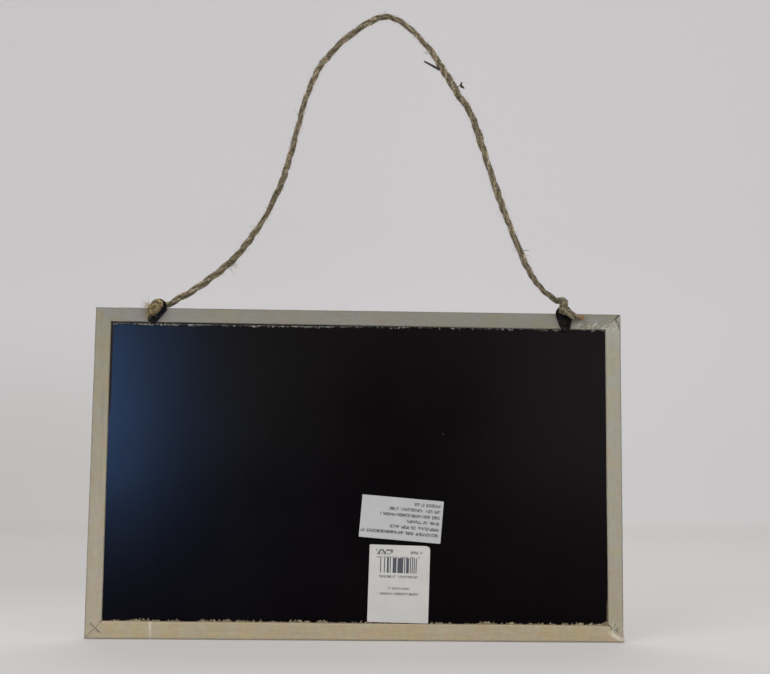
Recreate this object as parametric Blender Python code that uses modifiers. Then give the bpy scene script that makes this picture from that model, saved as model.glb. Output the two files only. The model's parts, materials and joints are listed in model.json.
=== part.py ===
"""Small framed chalkboard that hangs on a wall from a length of jute twine.

Four mitred, rabbeted rails hold a thin black writing panel. A staple crosses each mitre.
Two stamped hanger plates are pinned to the top rail. The twine is knotted to their eyes
and swings about the line between its two exits.

Metres, +Z up. The origin is on the back of the top rail, half way along it.
+X runs along the board to the viewer's right and +Y points into the wall.
"""
import math

import bmesh
import bpy
from mathutils import Matrix, Vector

# The board's outside
BOARD_WIDTH = 0.2450
BOARD_HEIGHT = 0.1510
BOARD_DEPTH = 0.0095

# Rails: the flat that shows in front, and the lip behind the panel
TOP_FACE = 0.0070
RIGHT_FACE = 0.0073
BOTTOM_FACE = 0.0080
LEFT_FACE = 0.0077
LIP_REACH = 0.0030
RAIL_ROUND = 0.0005
MITRE_GAP = 0.0002

# Writing panel, lying in the rabbet
PANEL_DEPTH = 0.0030
PANEL_RECESS = 0.0010
PANEL_SIDE_GAP = 0.0004
PANEL_BED_GAP = 0.0003
PANEL_ROUND = 0.0003

# Corner staples
STAPLE_CROWN = 0.0064
STAPLE_LEG = 0.0050
STAPLE_WIRE_RADIUS = 0.00030
STAPLE_BEND = 0.0006
STAPLE_SINK = 0.00025
STAPLE_CLEARANCE = 0.00010
STAPLE_PLACE_SHARE = 0.62

# Hanger plates: a round eye end running down to a smaller round tip. The tack sits just
# above the tip's middle, clear of the rail's inner edge.
PLATE_DEPTH = 0.0008
PLATE_EYE_END_RADIUS = 0.0039
PLATE_TIP_RADIUS = 0.0024
PLATE_TIP_REACH = 0.0060
TACK_INSET = 0.0008
PLATE_EDGE_ROUND = 0.00015
EYE_CLEARANCE = 0.0003
EYE_OFFSET = 0.00175
LEFT_PLATE_TURN = math.radians(25)
RIGHT_PLATE_TURN = math.radians(-6)

# Tacks
TACK_HEAD_RADIUS = 0.0010
TACK_HEAD_HEIGHT = 0.0005
TACK_SHANK_RADIUS = 0.00050
TACK_SHANK_LENGTH = 0.0055
TACK_POINT_LENGTH = 0.0012
TACK_CLEARANCE = 0.00015

# Film between pieces that lie face to face, and how close points are merged
SEAT_GAP = 0.00005
WELD_DISTANCE = 0.000005

# Twine, and where it meets its knots
TWINE_RADIUS = 0.00165
TWINE_SQUEEZED_RADIUS = 0.00125
TWINE_CLEARANCE = 0.0003
TWINE_END_GAP = 0.0003
TWINE_RUN_IN = 0.0012
TWINE_STEP = 0.0070
TWINE_END_STEP = 0.0026
TWINE_END_REACH = 0.0130
KNOT_CLEARANCE = 0.0003
KNOT_BEND = 0.0018

# Places on the hangers: each eye in from its end of the board and up from the top edge
LEFT_EYE_INSET = 0.0298
LEFT_EYE_RISE = 0.00185
RIGHT_EYE_INSET = 0.0270
RIGHT_EYE_RISE = 0.0015
RIGHT_TURN_OFFSET_X = 0.0001
RIGHT_TURN_OVER_PLATE = 0.00095
LEFT_EXIT_RUN = 0.0032
RIGHT_EXIT_RUN = 0.0023

# Left knot: one turn, pulled longer one way, with the cut end showing in its middle
LEFT_KNOT_OFFSET_X = -0.0016
LEFT_KNOT_DROP = 0.00185
LEFT_KNOT_CORD_RADIUS = 0.0016
LEFT_KNOT_HOLE_RADIUS = 0.0003
LEFT_KNOT_LENGTH_SHARE = 1.20
LEFT_KNOT_HEIGHT_SHARE = 0.90
LEFT_KNOT_LEAN = math.radians(-40)
CUT_END_RADIUS = 0.0013
CUT_END_PROUD = 0.0004

# Right knot: a hitch over the plate's top and back through its eye, with a tail to the side
RIGHT_KNOT_OFFSET_X = 0.0002
RIGHT_KNOT_DROP = 0.0004
RIGHT_KNOT_HALF_WIDTH = 0.0026
RIGHT_KNOT_HALF_DEPTH = 0.0018
RIGHT_KNOT_HALF_HEIGHT = 0.0021
RIGHT_KNOT_LEAN = math.radians(20)
TAIL_RADIUS = 0.0016
TAIL_TIP_RADIUS = 0.0012
TAIL_REACH = 0.0090
TAIL_DROP = 0.0032
TAIL_RISE = 0.0004

# Twine route from the left exit to the right one, seen from the front:
# distance from the board's middle, and height above its top edge
TWINE_ROUTE = (
    (-0.0835, 0.0052),
    (-0.0780, 0.0086),
    (-0.0693, 0.0151),
    (-0.0620, 0.0213),
    (-0.0569, 0.0266),
    (-0.0508, 0.0352),
    (-0.0463, 0.0420),
    (-0.0423, 0.0500),
    (-0.0378, 0.0604),
    (-0.0350, 0.0697),
    (-0.0328, 0.0781),
    (-0.0301, 0.0897),
    (-0.0273, 0.1010),
    (-0.0237, 0.1107),
    (-0.0205, 0.1176),
    (-0.0161, 0.1235),
    (-0.0103, 0.1299),
    (-0.0045, 0.1350),
    (0.0013, 0.1392),
    (0.0071, 0.1423),
    (0.0118, 0.1429),
    (0.0186, 0.1402),
    (0.0244, 0.1354),
    (0.0292, 0.1304),
    (0.0339, 0.1247),
    (0.0379, 0.1180),
    (0.0419, 0.1120),
    (0.0456, 0.1054),
    (0.0502, 0.0989),
    (0.0537, 0.0915),
    (0.0560, 0.0844),
    (0.0608, 0.0694),
    (0.0640, 0.0593),
    (0.0681, 0.0481),
    (0.0721, 0.0378),
    (0.0759, 0.0282),
    (0.0813, 0.0175),
    (0.0860, 0.0114),
    (0.0885, 0.0092),
)

# Paper labels: the tall one stands on the bottom rail's edge, the wide one above it
LABEL_DEPTH = 0.00015
LABEL_CLEARANCE = 0.0002
LABEL_SPACING = 0.0006
PRICE_LABEL_WIDTH = 0.0278
PRICE_LABEL_HEIGHT = 0.0348
PRICE_LABEL_X = 0.0195
PRICE_LABEL_TURN = math.radians(1.3)
PRICE_LABEL_CORNER = 0.0018
INFO_LABEL_WIDTH = 0.0376
INFO_LABEL_HEIGHT = 0.0193
INFO_LABEL_X = 0.0204
INFO_LABEL_TURN = math.radians(4.5)
INFO_LABEL_CORNER = 0.0003

# Facets
ROUND_STEPS = 3
PLATE_STEPS = 20
HOLE_STEPS = 20
TURN_STEPS = 20
RING_STEPS = 24
CORD_SIDES = 8
CUT_END_SIDES = 12
BEND_STEPS = 6

# Cutters run past what they cut by this much
OVERRUN = 0.0010

# Places that several pieces share
TOP_EDGE_Z = (TOP_FACE + LIP_REACH) / 2
OPENING_FOOT_Z = TOP_EDGE_Z - BOARD_HEIGHT + BOTTOM_FACE
FRONT_Y = -BOARD_DEPTH
RABBET_DEPTH = PANEL_RECESS + PANEL_DEPTH + PANEL_BED_GAP
PANEL_FRONT_Y = FRONT_Y + PANEL_RECESS
PLATE_BACK_Y = FRONT_Y - SEAT_GAP
PLATE_FRONT_Y = PLATE_BACK_Y - PLATE_DEPTH
TWINE_Y = FRONT_Y + TWINE_RADIUS + TWINE_CLEARANCE
EYE_RADIUS = TWINE_SQUEEZED_RADIUS + EYE_CLEARANCE

# The twine enters the left eye, and turns over the top of the right plate
LEFT_EYE_X = -BOARD_WIDTH / 2 + LEFT_EYE_INSET
RIGHT_EYE_X = BOARD_WIDTH / 2 - RIGHT_EYE_INSET
LEFT_EYE = Vector((LEFT_EYE_X, TWINE_Y, TOP_EDGE_Z + LEFT_EYE_RISE))
RIGHT_EYE = Vector((RIGHT_EYE_X, TWINE_Y, TOP_EDGE_Z + RIGHT_EYE_RISE))
RIGHT_PLATE_TOP_Z = RIGHT_EYE.z - EYE_OFFSET + PLATE_EYE_END_RADIUS
RIGHT_TURN_Z = RIGHT_PLATE_TOP_Z + RIGHT_TURN_OVER_PLATE + TWINE_RADIUS
RIGHT_TURN = Vector((RIGHT_EYE_X + RIGHT_TURN_OFFSET_X, TWINE_Y, RIGHT_TURN_Z))
SWING_AXIS = (RIGHT_TURN - LEFT_EYE).normalized()
LEFT_EXIT = LEFT_EYE + SWING_AXIS * LEFT_EXIT_RUN
RIGHT_EXIT = RIGHT_TURN - SWING_AXIS * RIGHT_EXIT_RUN

INTO_WALL = Vector((0, 1, 0))
TO_VIEWER = Vector((0, -1, 0))
STAND_UP = math.radians(90)


def clear_scene():
    """Remove every object, so that the script gives the same model each run."""
    for obj in list(bpy.data.objects):
        bpy.data.objects.remove(obj, do_unlink=True)


def make_collections():
    """One collection for the parts and one for the cutters."""
    made = []
    for name in ("wall_chalkboard", "cutters"):
        collection = bpy.data.collections.new(name)
        bpy.context.scene.collection.children.link(collection)
        made.append(collection)
    return made


def make_material(name, colour, roughness, metallic=0.0):
    """A Principled material with one colour."""
    material = bpy.data.materials.new(name)
    material.use_nodes = True
    shader = material.node_tree.nodes["Principled BSDF"]
    shader.inputs["Base Color"].default_value = (*colour, 1.0)
    shader.inputs["Roughness"].default_value = roughness
    shader.inputs["Metallic"].default_value = metallic
    material.diffuse_color = (*colour, 1.0)
    return material


def place_in(obj, collection, material=None):
    """Link an object to its collection and give it its material."""
    for owner in list(obj.users_collection):
        owner.objects.unlink(obj)
    collection.objects.link(obj)
    if material:
        obj.data.materials.append(material)
    return obj


def as_cutter(obj, cutters):
    """Put a cutter or a guide away: not rendered, and drawn as wire."""
    place_in(obj, cutters)
    obj.hide_render = True
    obj.display_type = "WIRE"
    return obj


def arc(centre, radius, start, end, steps):
    """Points of a flat arc from one angle to another, ends included."""
    turns = [start + (end - start) * i / steps for i in range(steps + 1)]
    return [(centre[0] + radius * math.cos(a), centre[1] + radius * math.sin(a)) for a in turns]


def fillet(corner, back, ahead, radius, steps):
    """Points of the arc that touches both sides of a corner, from one side to the other."""
    half = back.angle(ahead) / 2
    middle = corner + (back + ahead).normalized() * radius / math.sin(half)
    first = (corner + back * radius / math.tan(half) - middle).normalized()
    last = (corner + ahead * radius / math.tan(half) - middle).normalized()
    return [middle + first.slerp(last, step / steps) * radius for step in range(steps + 1)]


def rounded_outline(corners, radii, steps=ROUND_STEPS):
    """A flat outline whose corners are replaced by arcs that touch both sides."""
    outline = []
    for i, (corner, radius) in enumerate(zip(corners, radii)):
        here = Vector(corner)
        back = (Vector(corners[i - 1]) - here).normalized()
        ahead = (Vector(corners[(i + 1) % len(corners)]) - here).normalized()
        if radius == 0:
            outline.append(tuple(here))
            continue
        outline += [tuple(point) for point in fillet(here, back, ahead, radius, steps)]
    return outline


def rounded_route(points, radius, steps=BEND_STEPS):
    """A route through space whose inner corners are bent to one radius."""
    route = [Vector(points[0])]
    for before, here, after in zip(points, points[1:], points[2:]):
        back = (before - here).normalized()
        ahead = (after - here).normalized()
        route += fillet(here, back, ahead, radius, steps)
    route.append(Vector(points[-1]))
    return route


def add_mesh(name, bm, collection, material=None):
    """Turn a bmesh into an object, with its faces pointing out."""
    bmesh.ops.recalc_face_normals(bm, faces=bm.faces)
    mesh = bpy.data.meshes.new(name)
    bm.to_mesh(mesh)
    bm.free()
    obj = bpy.data.objects.new(name, mesh)
    return place_in(obj, collection, material)


def add_difference(obj, cutter):
    """Cut one object's shape out of another."""
    boolean = obj.modifiers.new("cut_" + cutter.name, "BOOLEAN")
    boolean.operation = "DIFFERENCE"
    boolean.object = cutter


def add_union(obj, guide):
    """Join a guide's shape to an object."""
    boolean = obj.modifiers.new("join_" + guide.name, "BOOLEAN")
    boolean.operation = "UNION"
    boolean.object = guide


def add_tube(name, points, radius, shares=None, sides=CORD_SIDES):
    """A round tube along points, capped at both ends. Shares thin it along the way."""
    curve = bpy.data.curves.new(name, "CURVE")
    curve.dimensions = "3D"
    curve.bevel_depth = radius
    curve.bevel_resolution = sides // 2 - 2
    curve.use_fill_caps = True
    spline = curve.splines.new("POLY")
    spline.points.add(len(points) - 1)
    for i, point in enumerate(points):
        spline.points[i].co = (*point, 1.0)
        spline.points[i].radius = shares[i] if shares else 1.0
    obj = bpy.data.objects.new(name, curve)
    bpy.context.scene.collection.objects.link(obj)
    return obj


def as_mesh_object(curve_obj):
    """Replace a curve object by a mesh object with its caps welded on."""
    bpy.context.view_layer.update()
    depsgraph = bpy.context.evaluated_depsgraph_get()
    mesh = bpy.data.meshes.new_from_object(curve_obj.evaluated_get(depsgraph))
    bm = bmesh.new()
    bm.from_mesh(mesh)
    bmesh.ops.remove_doubles(bm, verts=bm.verts, dist=WELD_DISTANCE)
    bmesh.ops.recalc_face_normals(bm, faces=bm.faces)
    bm.to_mesh(mesh)
    bm.free()
    obj = bpy.data.objects.new(curve_obj.name, mesh)
    obj.matrix_world = curve_obj.matrix_world
    bpy.data.objects.remove(curve_obj, do_unlink=True)
    return obj


def add_round(name, radius, depth, place, cutters, steps=HOLE_STEPS):
    """A cylinder cutter whose axis runs into the wall, its middle at a place."""
    bpy.ops.mesh.primitive_cylinder_add(vertices=steps, radius=radius, depth=depth)
    obj = bpy.context.object
    obj.name = name
    obj.location = place
    obj.rotation_euler = (STAND_UP, 0, 0)
    return as_cutter(obj, cutters)


def rail_section(face):
    """Outline across a rail as depth and height, its outer edge at zero height."""
    back_lip = -(face + LIP_REACH)
    bed = FRONT_Y + RABBET_DEPTH
    corners = [(0, 0), (FRONT_Y, 0), (FRONT_Y, -face), (bed, -face), (bed, back_lip), (0, back_lip)]
    radii = [RAIL_ROUND, RAIL_ROUND, RAIL_ROUND, 0, 0, RAIL_ROUND]
    return rounded_outline(corners, radii)


def cut_end(bm, place, normal):
    """Cut the open side of a plane off a closed mesh and close it again."""
    everything = bm.verts[:] + bm.edges[:] + bm.faces[:]
    bmesh.ops.bisect_plane(bm, geom=everything, plane_co=place, plane_no=normal, clear_outer=True)
    open_edges = [edge for edge in bm.edges if len(edge.link_faces) == 1]
    bmesh.ops.contextual_create(bm, geom=open_edges)


def add_rail(name, length, faces, turn, place, parts, material):
    """A rail along X, cut to the mitre at each end, then turned to its side of the board.

    Faces are the widths of the rail before it, its own and the rail after it. Each mitre
    plane runs from the board's outer corner to the corner of the panel's opening.
    """
    before, face, after = faces
    bm = bmesh.new()
    ring = [bm.verts.new((-length / 2, y, z)) for y, z in rail_section(face)]
    bm.faces.new(ring)
    grown = bmesh.ops.extrude_face_region(bm, geom=bm.faces[:])["geom"]
    moved = [item for item in grown if isinstance(item, bmesh.types.BMVert)]
    bmesh.ops.translate(bm, verts=moved, vec=(length, 0, 0))
    for side, neighbour in ((-1, before), (1, after)):
        normal = Vector((side * face, 0, -neighbour)).normalized()
        corner = Vector((side * length / 2, 0, 0)) - normal * MITRE_GAP / 2
        cut_end(bm, corner, normal)
    rail = add_mesh(name, bm, parts, material)
    rail.location = place
    rail.rotation_euler = (0, turn, 0)
    return rail


def add_rails(parts, material):
    """The four rails, clockwise from the top one as seen from the front."""
    middle_z = TOP_EDGE_Z - BOARD_HEIGHT / 2
    sides = (
        ("rail_top", BOARD_WIDTH, TOP_FACE, (0, 0, TOP_EDGE_Z)),
        ("rail_right", BOARD_HEIGHT, RIGHT_FACE, (BOARD_WIDTH / 2, 0, middle_z)),
        ("rail_bottom", BOARD_WIDTH, BOTTOM_FACE, (0, 0, TOP_EDGE_Z - BOARD_HEIGHT)),
        ("rail_left", BOARD_HEIGHT, LEFT_FACE, (-BOARD_WIDTH / 2, 0, middle_z)),
    )
    rails = []
    for i, (name, length, face, place) in enumerate(sides):
        faces = (sides[i - 1][2], face, sides[(i + 1) % 4][2])
        rails.append(add_rail(name, length, faces, STAND_UP * i, place, parts, material))
    return rails


def add_panel(parts, material):
    """The writing panel, a little smaller than the opening between the rails' faces."""
    left = -BOARD_WIDTH / 2 + LEFT_FACE + PANEL_SIDE_GAP
    right = BOARD_WIDTH / 2 - RIGHT_FACE - PANEL_SIDE_GAP
    top = TOP_EDGE_Z - TOP_FACE - PANEL_SIDE_GAP
    bottom = OPENING_FOOT_Z + PANEL_SIDE_GAP
    bm = bmesh.new()
    size = Matrix.Diagonal((right - left, PANEL_DEPTH, top - bottom, 1))
    bmesh.ops.create_cube(bm, size=1, matrix=size)
    panel = add_mesh("chalk_panel", bm, parts, material)
    panel.location = ((left + right) / 2, PANEL_FRONT_Y + PANEL_DEPTH / 2, (top + bottom) / 2)
    bevel = panel.modifiers.new("soft_edges", "BEVEL")
    bevel.width = PANEL_ROUND
    bevel.segments = 1
    return panel


def staple_route(extra_leg=0):
    """The staple's bent wire, crown along X and legs into the wood."""
    half = STAPLE_CROWN / 2
    leg = STAPLE_LEG + extra_leg
    corners = [Vector((-half, leg, 0)), Vector((-half, 0, 0)), Vector((half, 0, 0)), Vector((half, leg, 0))]
    return rounded_route(corners, STAPLE_BEND, steps=3)


def add_staples(rails, parts, cutters, material):
    """A staple across each mitre. Its channel and leg holes are cut from both rails."""
    top, right, bottom, left = rails
    corners = (
        ("top_left", -1, 1, LEFT_FACE, TOP_FACE, (left, top)),
        ("top_right", 1, 1, RIGHT_FACE, TOP_FACE, (top, right)),
        ("bottom_right", 1, -1, RIGHT_FACE, BOTTOM_FACE, (right, bottom)),
        ("bottom_left", -1, -1, LEFT_FACE, BOTTOM_FACE, (bottom, left)),
    )
    centre_z = TOP_EDGE_Z - BOARD_HEIGHT / 2
    for name, side, up, wide, tall, pair in corners:
        x = side * (BOARD_WIDTH / 2 - wide * STAPLE_PLACE_SHARE)
        z = centre_z + up * (BOARD_HEIGHT / 2 - tall * STAPLE_PLACE_SHARE)
        along_mitre = math.atan2(up * tall, side * wide)
        place = (x, FRONT_Y + STAPLE_SINK, z)
        turn = (0, STAND_UP - along_mitre, 0)

        staple = add_tube("staple_" + name, staple_route(), STAPLE_WIRE_RADIUS)
        place_in(staple, parts, material)
        staple.location = place
        staple.rotation_euler = turn

        room = STAPLE_WIRE_RADIUS + STAPLE_CLEARANCE
        channel = as_mesh_object(add_tube("channel_" + name, staple_route(STAPLE_CLEARANCE), room))
        channel.location = place
        channel.rotation_euler = turn
        as_cutter(channel, cutters)
        for rail in pair:
            add_difference(rail, channel)


def plate_outline():
    """Round eye end above, smaller round tip below, joined by their common tangents."""
    lean = math.asin((PLATE_EYE_END_RADIUS - PLATE_TIP_RADIUS) / PLATE_TIP_REACH)
    eye_end = arc((0, 0), PLATE_EYE_END_RADIUS, -lean, math.pi + lean, PLATE_STEPS)
    tip = arc((0, -PLATE_TIP_REACH), PLATE_TIP_RADIUS, math.pi + lean, 2 * math.pi - lean, PLATE_STEPS // 2)
    return eye_end + tip


def circle(centre, radius, steps):
    """Points of a full circle, without repeating the first."""
    return arc(centre, radius, 0, 2 * math.pi, steps)[:-1]


def add_flat_curve(name, outlines, depth, parts, material):
    """A flat piece filled between its outlines, standing up with its front to the viewer."""
    curve = bpy.data.curves.new(name, "CURVE")
    curve.dimensions = "2D"
    curve.fill_mode = "BOTH"
    curve.extrude = depth / 2
    for outline in outlines:
        spline = curve.splines.new("POLY")
        spline.points.add(len(outline) - 1)
        for i, (x, y) in enumerate(outline):
            spline.points[i].co = (x, y, 0, 1)
        spline.use_cyclic_u = True
    obj = bpy.data.objects.new(name, curve)
    return place_in(obj, parts, material)


def plate_place(eye, turn):
    """Where the middle of a plate's eye end lies, from the eye hole and the plate's turn."""
    down = Vector((-math.sin(turn), 0, -math.cos(turn)))
    return eye + down * EYE_OFFSET, down


def add_hanger(side, eye, turn, rail, parts, cutters, material):
    """A plate with its eye and its tack, and the tack's hole in the rail."""
    centre, down = plate_place(eye, turn)
    tack_reach = PLATE_TIP_REACH - TACK_INSET
    holes = [
        circle((0, EYE_OFFSET), EYE_RADIUS, HOLE_STEPS),
        circle((0, -tack_reach), TACK_SHANK_RADIUS + TACK_CLEARANCE, HOLE_STEPS),
    ]
    outlines = [plate_outline()] + holes
    plate = add_flat_curve("hanger_plate_" + side, outlines, PLATE_DEPTH, parts, material)
    plate.location = (centre.x, PLATE_BACK_Y - PLATE_DEPTH / 2, centre.z)
    plate.rotation_euler = (STAND_UP, turn, 0)
    weld = plate.modifiers.new("weld", "WELD")
    weld.merge_threshold = WELD_DISTANCE
    bevel = plate.modifiers.new("soft_edges", "BEVEL")
    bevel.width = PLATE_EDGE_ROUND
    bevel.segments = 1
    bevel.angle_limit = math.radians(60)

    tack_at = centre + down * tack_reach
    tack = add_tack("hanger_tack_" + side, parts, material)
    tack.location = (tack_at.x, PLATE_FRONT_Y - SEAT_GAP, tack_at.z)

    shank_into_wood = TACK_SHANK_LENGTH - PLATE_DEPTH - 2 * SEAT_GAP + TACK_CLEARANCE
    hole_depth = shank_into_wood + OVERRUN
    hole_at = (tack_at.x, FRONT_Y - OVERRUN + hole_depth / 2, tack_at.z)
    room = TACK_SHANK_RADIUS + TACK_CLEARANCE
    hole = add_round("tack_hole_" + side, room, hole_depth, hole_at, cutters)
    add_difference(rail, hole)


def add_tack(name, parts, material):
    """A turned tack: domed head at the top of its own Z, point at the bottom."""
    dome = [
        (TACK_HEAD_RADIUS * math.sin(a), TACK_HEAD_HEIGHT * math.cos(a))
        for a in (STAND_UP * i / ROUND_STEPS for i in range(ROUND_STEPS + 1))
    ]
    tip = -TACK_SHANK_LENGTH
    profile = dome + [
        (TACK_SHANK_RADIUS, 0),
        (TACK_SHANK_RADIUS, tip + TACK_POINT_LENGTH),
        (0, tip),
    ]
    mesh = bpy.data.meshes.new(name)
    points = [(x, 0, z) for x, z in profile]
    mesh.from_pydata(points, [(i, i + 1) for i in range(len(points) - 1)], [])
    tack = place_in(bpy.data.objects.new(name, mesh), parts, material)
    tack.rotation_euler = (STAND_UP, 0, 0)
    screw = tack.modifiers.new("turn", "SCREW")
    screw.steps = TURN_STEPS
    screw.render_steps = TURN_STEPS
    screw.use_merge_vertices = True
    screw.merge_threshold = WELD_DISTANCE
    return tack


def smooth_curve(before, points, after, per_span=24):
    """Points of a smooth curve through a route, heading in from before and out to after.

    Each span is a Catmull-Rom blend whose steps follow the square root of the spacing,
    which keeps close points from making loops.
    """
    guides = [before] + list(points) + [after]
    fine = []
    for a, b, c, d in zip(guides, guides[1:], guides[2:], guides[3:]):
        ta = 0.0
        tb = ta + math.sqrt((b - a).length)
        tc = tb + math.sqrt((c - b).length)
        td = tc + math.sqrt((d - c).length)
        for i in range(per_span):
            t = tb + (tc - tb) * i / per_span
            ab = a.lerp(b, (t - ta) / (tb - ta))
            bc = b.lerp(c, (t - tb) / (tc - tb))
            cd = c.lerp(d, (t - tc) / (td - tc))
            abc = ab.lerp(bc, (t - ta) / (tc - ta))
            bcd = bc.lerp(cd, (t - tb) / (td - tb))
            fine.append(abc.lerp(bcd, (t - tb) / (tc - tb)))
    fine.append(Vector(points[-1]))
    return fine


def points_at(fine, targets, lengths):
    """Points of a fine line at given distances along it."""
    found = []
    at = 0
    for target in targets:
        while at < len(fine) - 2 and lengths[at + 1] < target:
            at += 1
        share = (target - lengths[at]) / (lengths[at + 1] - lengths[at])
        found.append(fine[at].lerp(fine[at + 1], share))
    return found


def spaced_points(fine, step, end_step, end_reach):
    """Points one step apart along a fine line, and closer together near its two ends."""
    lengths = [0.0]
    for before, after in zip(fine, fine[1:]):
        lengths.append(lengths[-1] + (after - before).length)
    whole = lengths[-1]
    near = max(1, round(end_reach / end_step))
    far = max(1, round((whole - 2 * end_reach) / step))
    targets = [end_reach * i / near for i in range(near)]
    targets += [end_reach + (whole - 2 * end_reach) * i / far for i in range(far)]
    targets += [whole - end_reach * (near - i) / near for i in range(near + 1)]
    return points_at(fine, targets, lengths), whole


def add_twine(parts, material):
    """The free twine, from one knot to the other, with its origin on the swing axis."""
    first = LEFT_EXIT + SWING_AXIS * TWINE_RUN_IN
    last = RIGHT_EXIT - SWING_AXIS * TWINE_RUN_IN
    middle = [Vector((x, TWINE_Y, TOP_EDGE_Z + rise)) for x, rise in TWINE_ROUTE]
    fine = smooth_curve(LEFT_EXIT, [first] + middle + [last], RIGHT_EXIT)
    spaced, length = spaced_points(fine, TWINE_STEP, TWINE_END_STEP, TWINE_END_REACH)
    route = [LEFT_EXIT] + spaced + [RIGHT_EXIT]
    twine = add_tube("twine", [point - LEFT_EXIT for point in route], TWINE_RADIUS)
    place_in(twine, parts, material)

    pivot = bpy.data.objects.new("twine_swing_axis", None)
    parts.objects.link(pivot)
    pivot.location = LEFT_EXIT
    twine.parent = pivot
    print(f"free twine length {length + 2 * TWINE_RUN_IN:.4f} m in {len(route)} points")
    return twine


def add_ring(name, ring_radius, cord_radius, place, parts, material):
    """One turn of the twine in front of a hanger plate, longer one way and leaning."""
    bpy.ops.mesh.primitive_torus_add(
        major_radius=ring_radius,
        minor_radius=cord_radius,
        major_segments=RING_STEPS,
        minor_segments=CORD_SIDES + 2,
    )
    ring = bpy.context.object
    ring.name = name
    ring.data.transform(Matrix.Diagonal((LEFT_KNOT_LENGTH_SHARE, LEFT_KNOT_HEIGHT_SHARE, 1, 1)))
    ring.location = place
    ring.rotation_euler = (STAND_UP, LEFT_KNOT_LEAN, 0)
    return place_in(ring, parts, material)


def add_lump(name, half_sizes, lean, place, parts, material):
    """A round lump of pulled-tight twine, wider than it is deep, leaning to one side."""
    bm = bmesh.new()
    bmesh.ops.create_uvsphere(bm, u_segments=RING_STEPS, v_segments=RING_STEPS // 2, radius=1)
    bmesh.ops.transform(bm, matrix=Matrix.Diagonal((*half_sizes, 1)), verts=bm.verts)
    lump = add_mesh(name, bm, parts, material)
    lump.location = place
    lump.rotation_euler = (0, lean, 0)
    return lump


def knot_front_y(cord_radius):
    """Depth of a knot's middle, so that the cord just clears the plate's front."""
    return PLATE_FRONT_Y - KNOT_CLEARANCE - cord_radius


def squeezed(lies_free):
    """Thickness shares along a strand: full where it lies free, squeezed elsewhere."""
    least = TWINE_SQUEEZED_RADIUS / TWINE_RADIUS
    return [1.0 if free else least for free in lies_free]


def add_left_knot(parts, cutters, material):
    """A round turn in front of the left plate, with its strand out through the eye."""
    front_y = knot_front_y(LEFT_KNOT_CORD_RADIUS)
    centre = Vector((LEFT_EYE.x + LEFT_KNOT_OFFSET_X, front_y, LEFT_EYE.z - LEFT_KNOT_DROP))
    ring_radius = LEFT_KNOT_CORD_RADIUS + LEFT_KNOT_HOLE_RADIUS
    knot = add_ring("twine_knot_left", ring_radius, LEFT_KNOT_CORD_RADIUS, centre, parts, material)

    start = LEFT_EXIT - SWING_AXIS * TWINE_END_GAP
    inside = Vector((LEFT_EYE.x, front_y, LEFT_EYE.z))
    route = rounded_route([start, LEFT_EYE, inside], KNOT_BEND)
    shares = squeezed([point.y > TWINE_Y - KNOT_BEND / 2 for point in route])
    strand = add_tube("left_strand", route, TWINE_RADIUS, shares)
    add_union(knot, as_cutter(as_mesh_object(strand), cutters))

    reach = LEFT_KNOT_CORD_RADIUS + CUT_END_PROUD
    ends = [centre + INTO_WALL * LEFT_KNOT_CORD_RADIUS / 2, centre + TO_VIEWER * reach]
    cut_end_piece = add_tube("left_cut_end", ends, CUT_END_RADIUS, sides=CUT_END_SIDES)
    add_union(knot, as_cutter(as_mesh_object(cut_end_piece), cutters))
    return knot


def add_right_knot(parts, cutters, material):
    """A hitch round the top of the right plate's eye, pulled tight in front, with a tail."""
    front_y = knot_front_y(RIGHT_KNOT_HALF_DEPTH)
    centre = Vector((RIGHT_EYE.x + RIGHT_KNOT_OFFSET_X, front_y, RIGHT_EYE.z - RIGHT_KNOT_DROP))
    half_sizes = (RIGHT_KNOT_HALF_WIDTH, RIGHT_KNOT_HALF_DEPTH, RIGHT_KNOT_HALF_HEIGHT)
    knot = add_lump("twine_knot_right", half_sizes, RIGHT_KNOT_LEAN, centre, parts, material)

    start = RIGHT_EXIT + SWING_AXIS * TWINE_END_GAP
    over_y = knot_front_y(TWINE_RADIUS)
    above = Vector((RIGHT_TURN.x, over_y, RIGHT_TURN.z))
    below = Vector((RIGHT_EYE.x, over_y, centre.z))
    route = rounded_route([start, RIGHT_TURN, above, below], KNOT_BEND)
    shares = squeezed([point.z > centre.z + RIGHT_KNOT_HALF_HEIGHT for point in route])
    strand = add_tube("right_strand", route, TWINE_RADIUS, shares)
    add_union(knot, as_cutter(as_mesh_object(strand), cutters))

    behind = Vector((RIGHT_EYE.x, TWINE_Y, RIGHT_EYE.z))
    inside = Vector((RIGHT_EYE.x, front_y, RIGHT_EYE.z))
    joined = Vector((RIGHT_EYE.x, TWINE_Y, RIGHT_TURN.z))
    back_route = rounded_route([inside, behind, joined], KNOT_BEND)
    loop = add_tube("right_loop", back_route, TWINE_SQUEEZED_RADIUS)
    add_union(knot, as_cutter(as_mesh_object(loop), cutters))

    tip = centre + Vector((TAIL_REACH, 0, -TAIL_DROP))
    middle = centre.lerp(tip, 0.5) + Vector((0, 0, TAIL_RISE))
    beyond = tip + (tip - middle)
    tail_route = smooth_curve(behind, [centre, middle, tip], beyond, per_span=3)
    thin = TAIL_TIP_RADIUS / TAIL_RADIUS
    shares = [1 - (1 - thin) * i / (len(tail_route) - 1) for i in range(len(tail_route))]
    tail = add_tube("right_tail", tail_route, TAIL_RADIUS, shares)
    add_union(knot, as_cutter(as_mesh_object(tail), cutters))
    return knot


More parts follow.
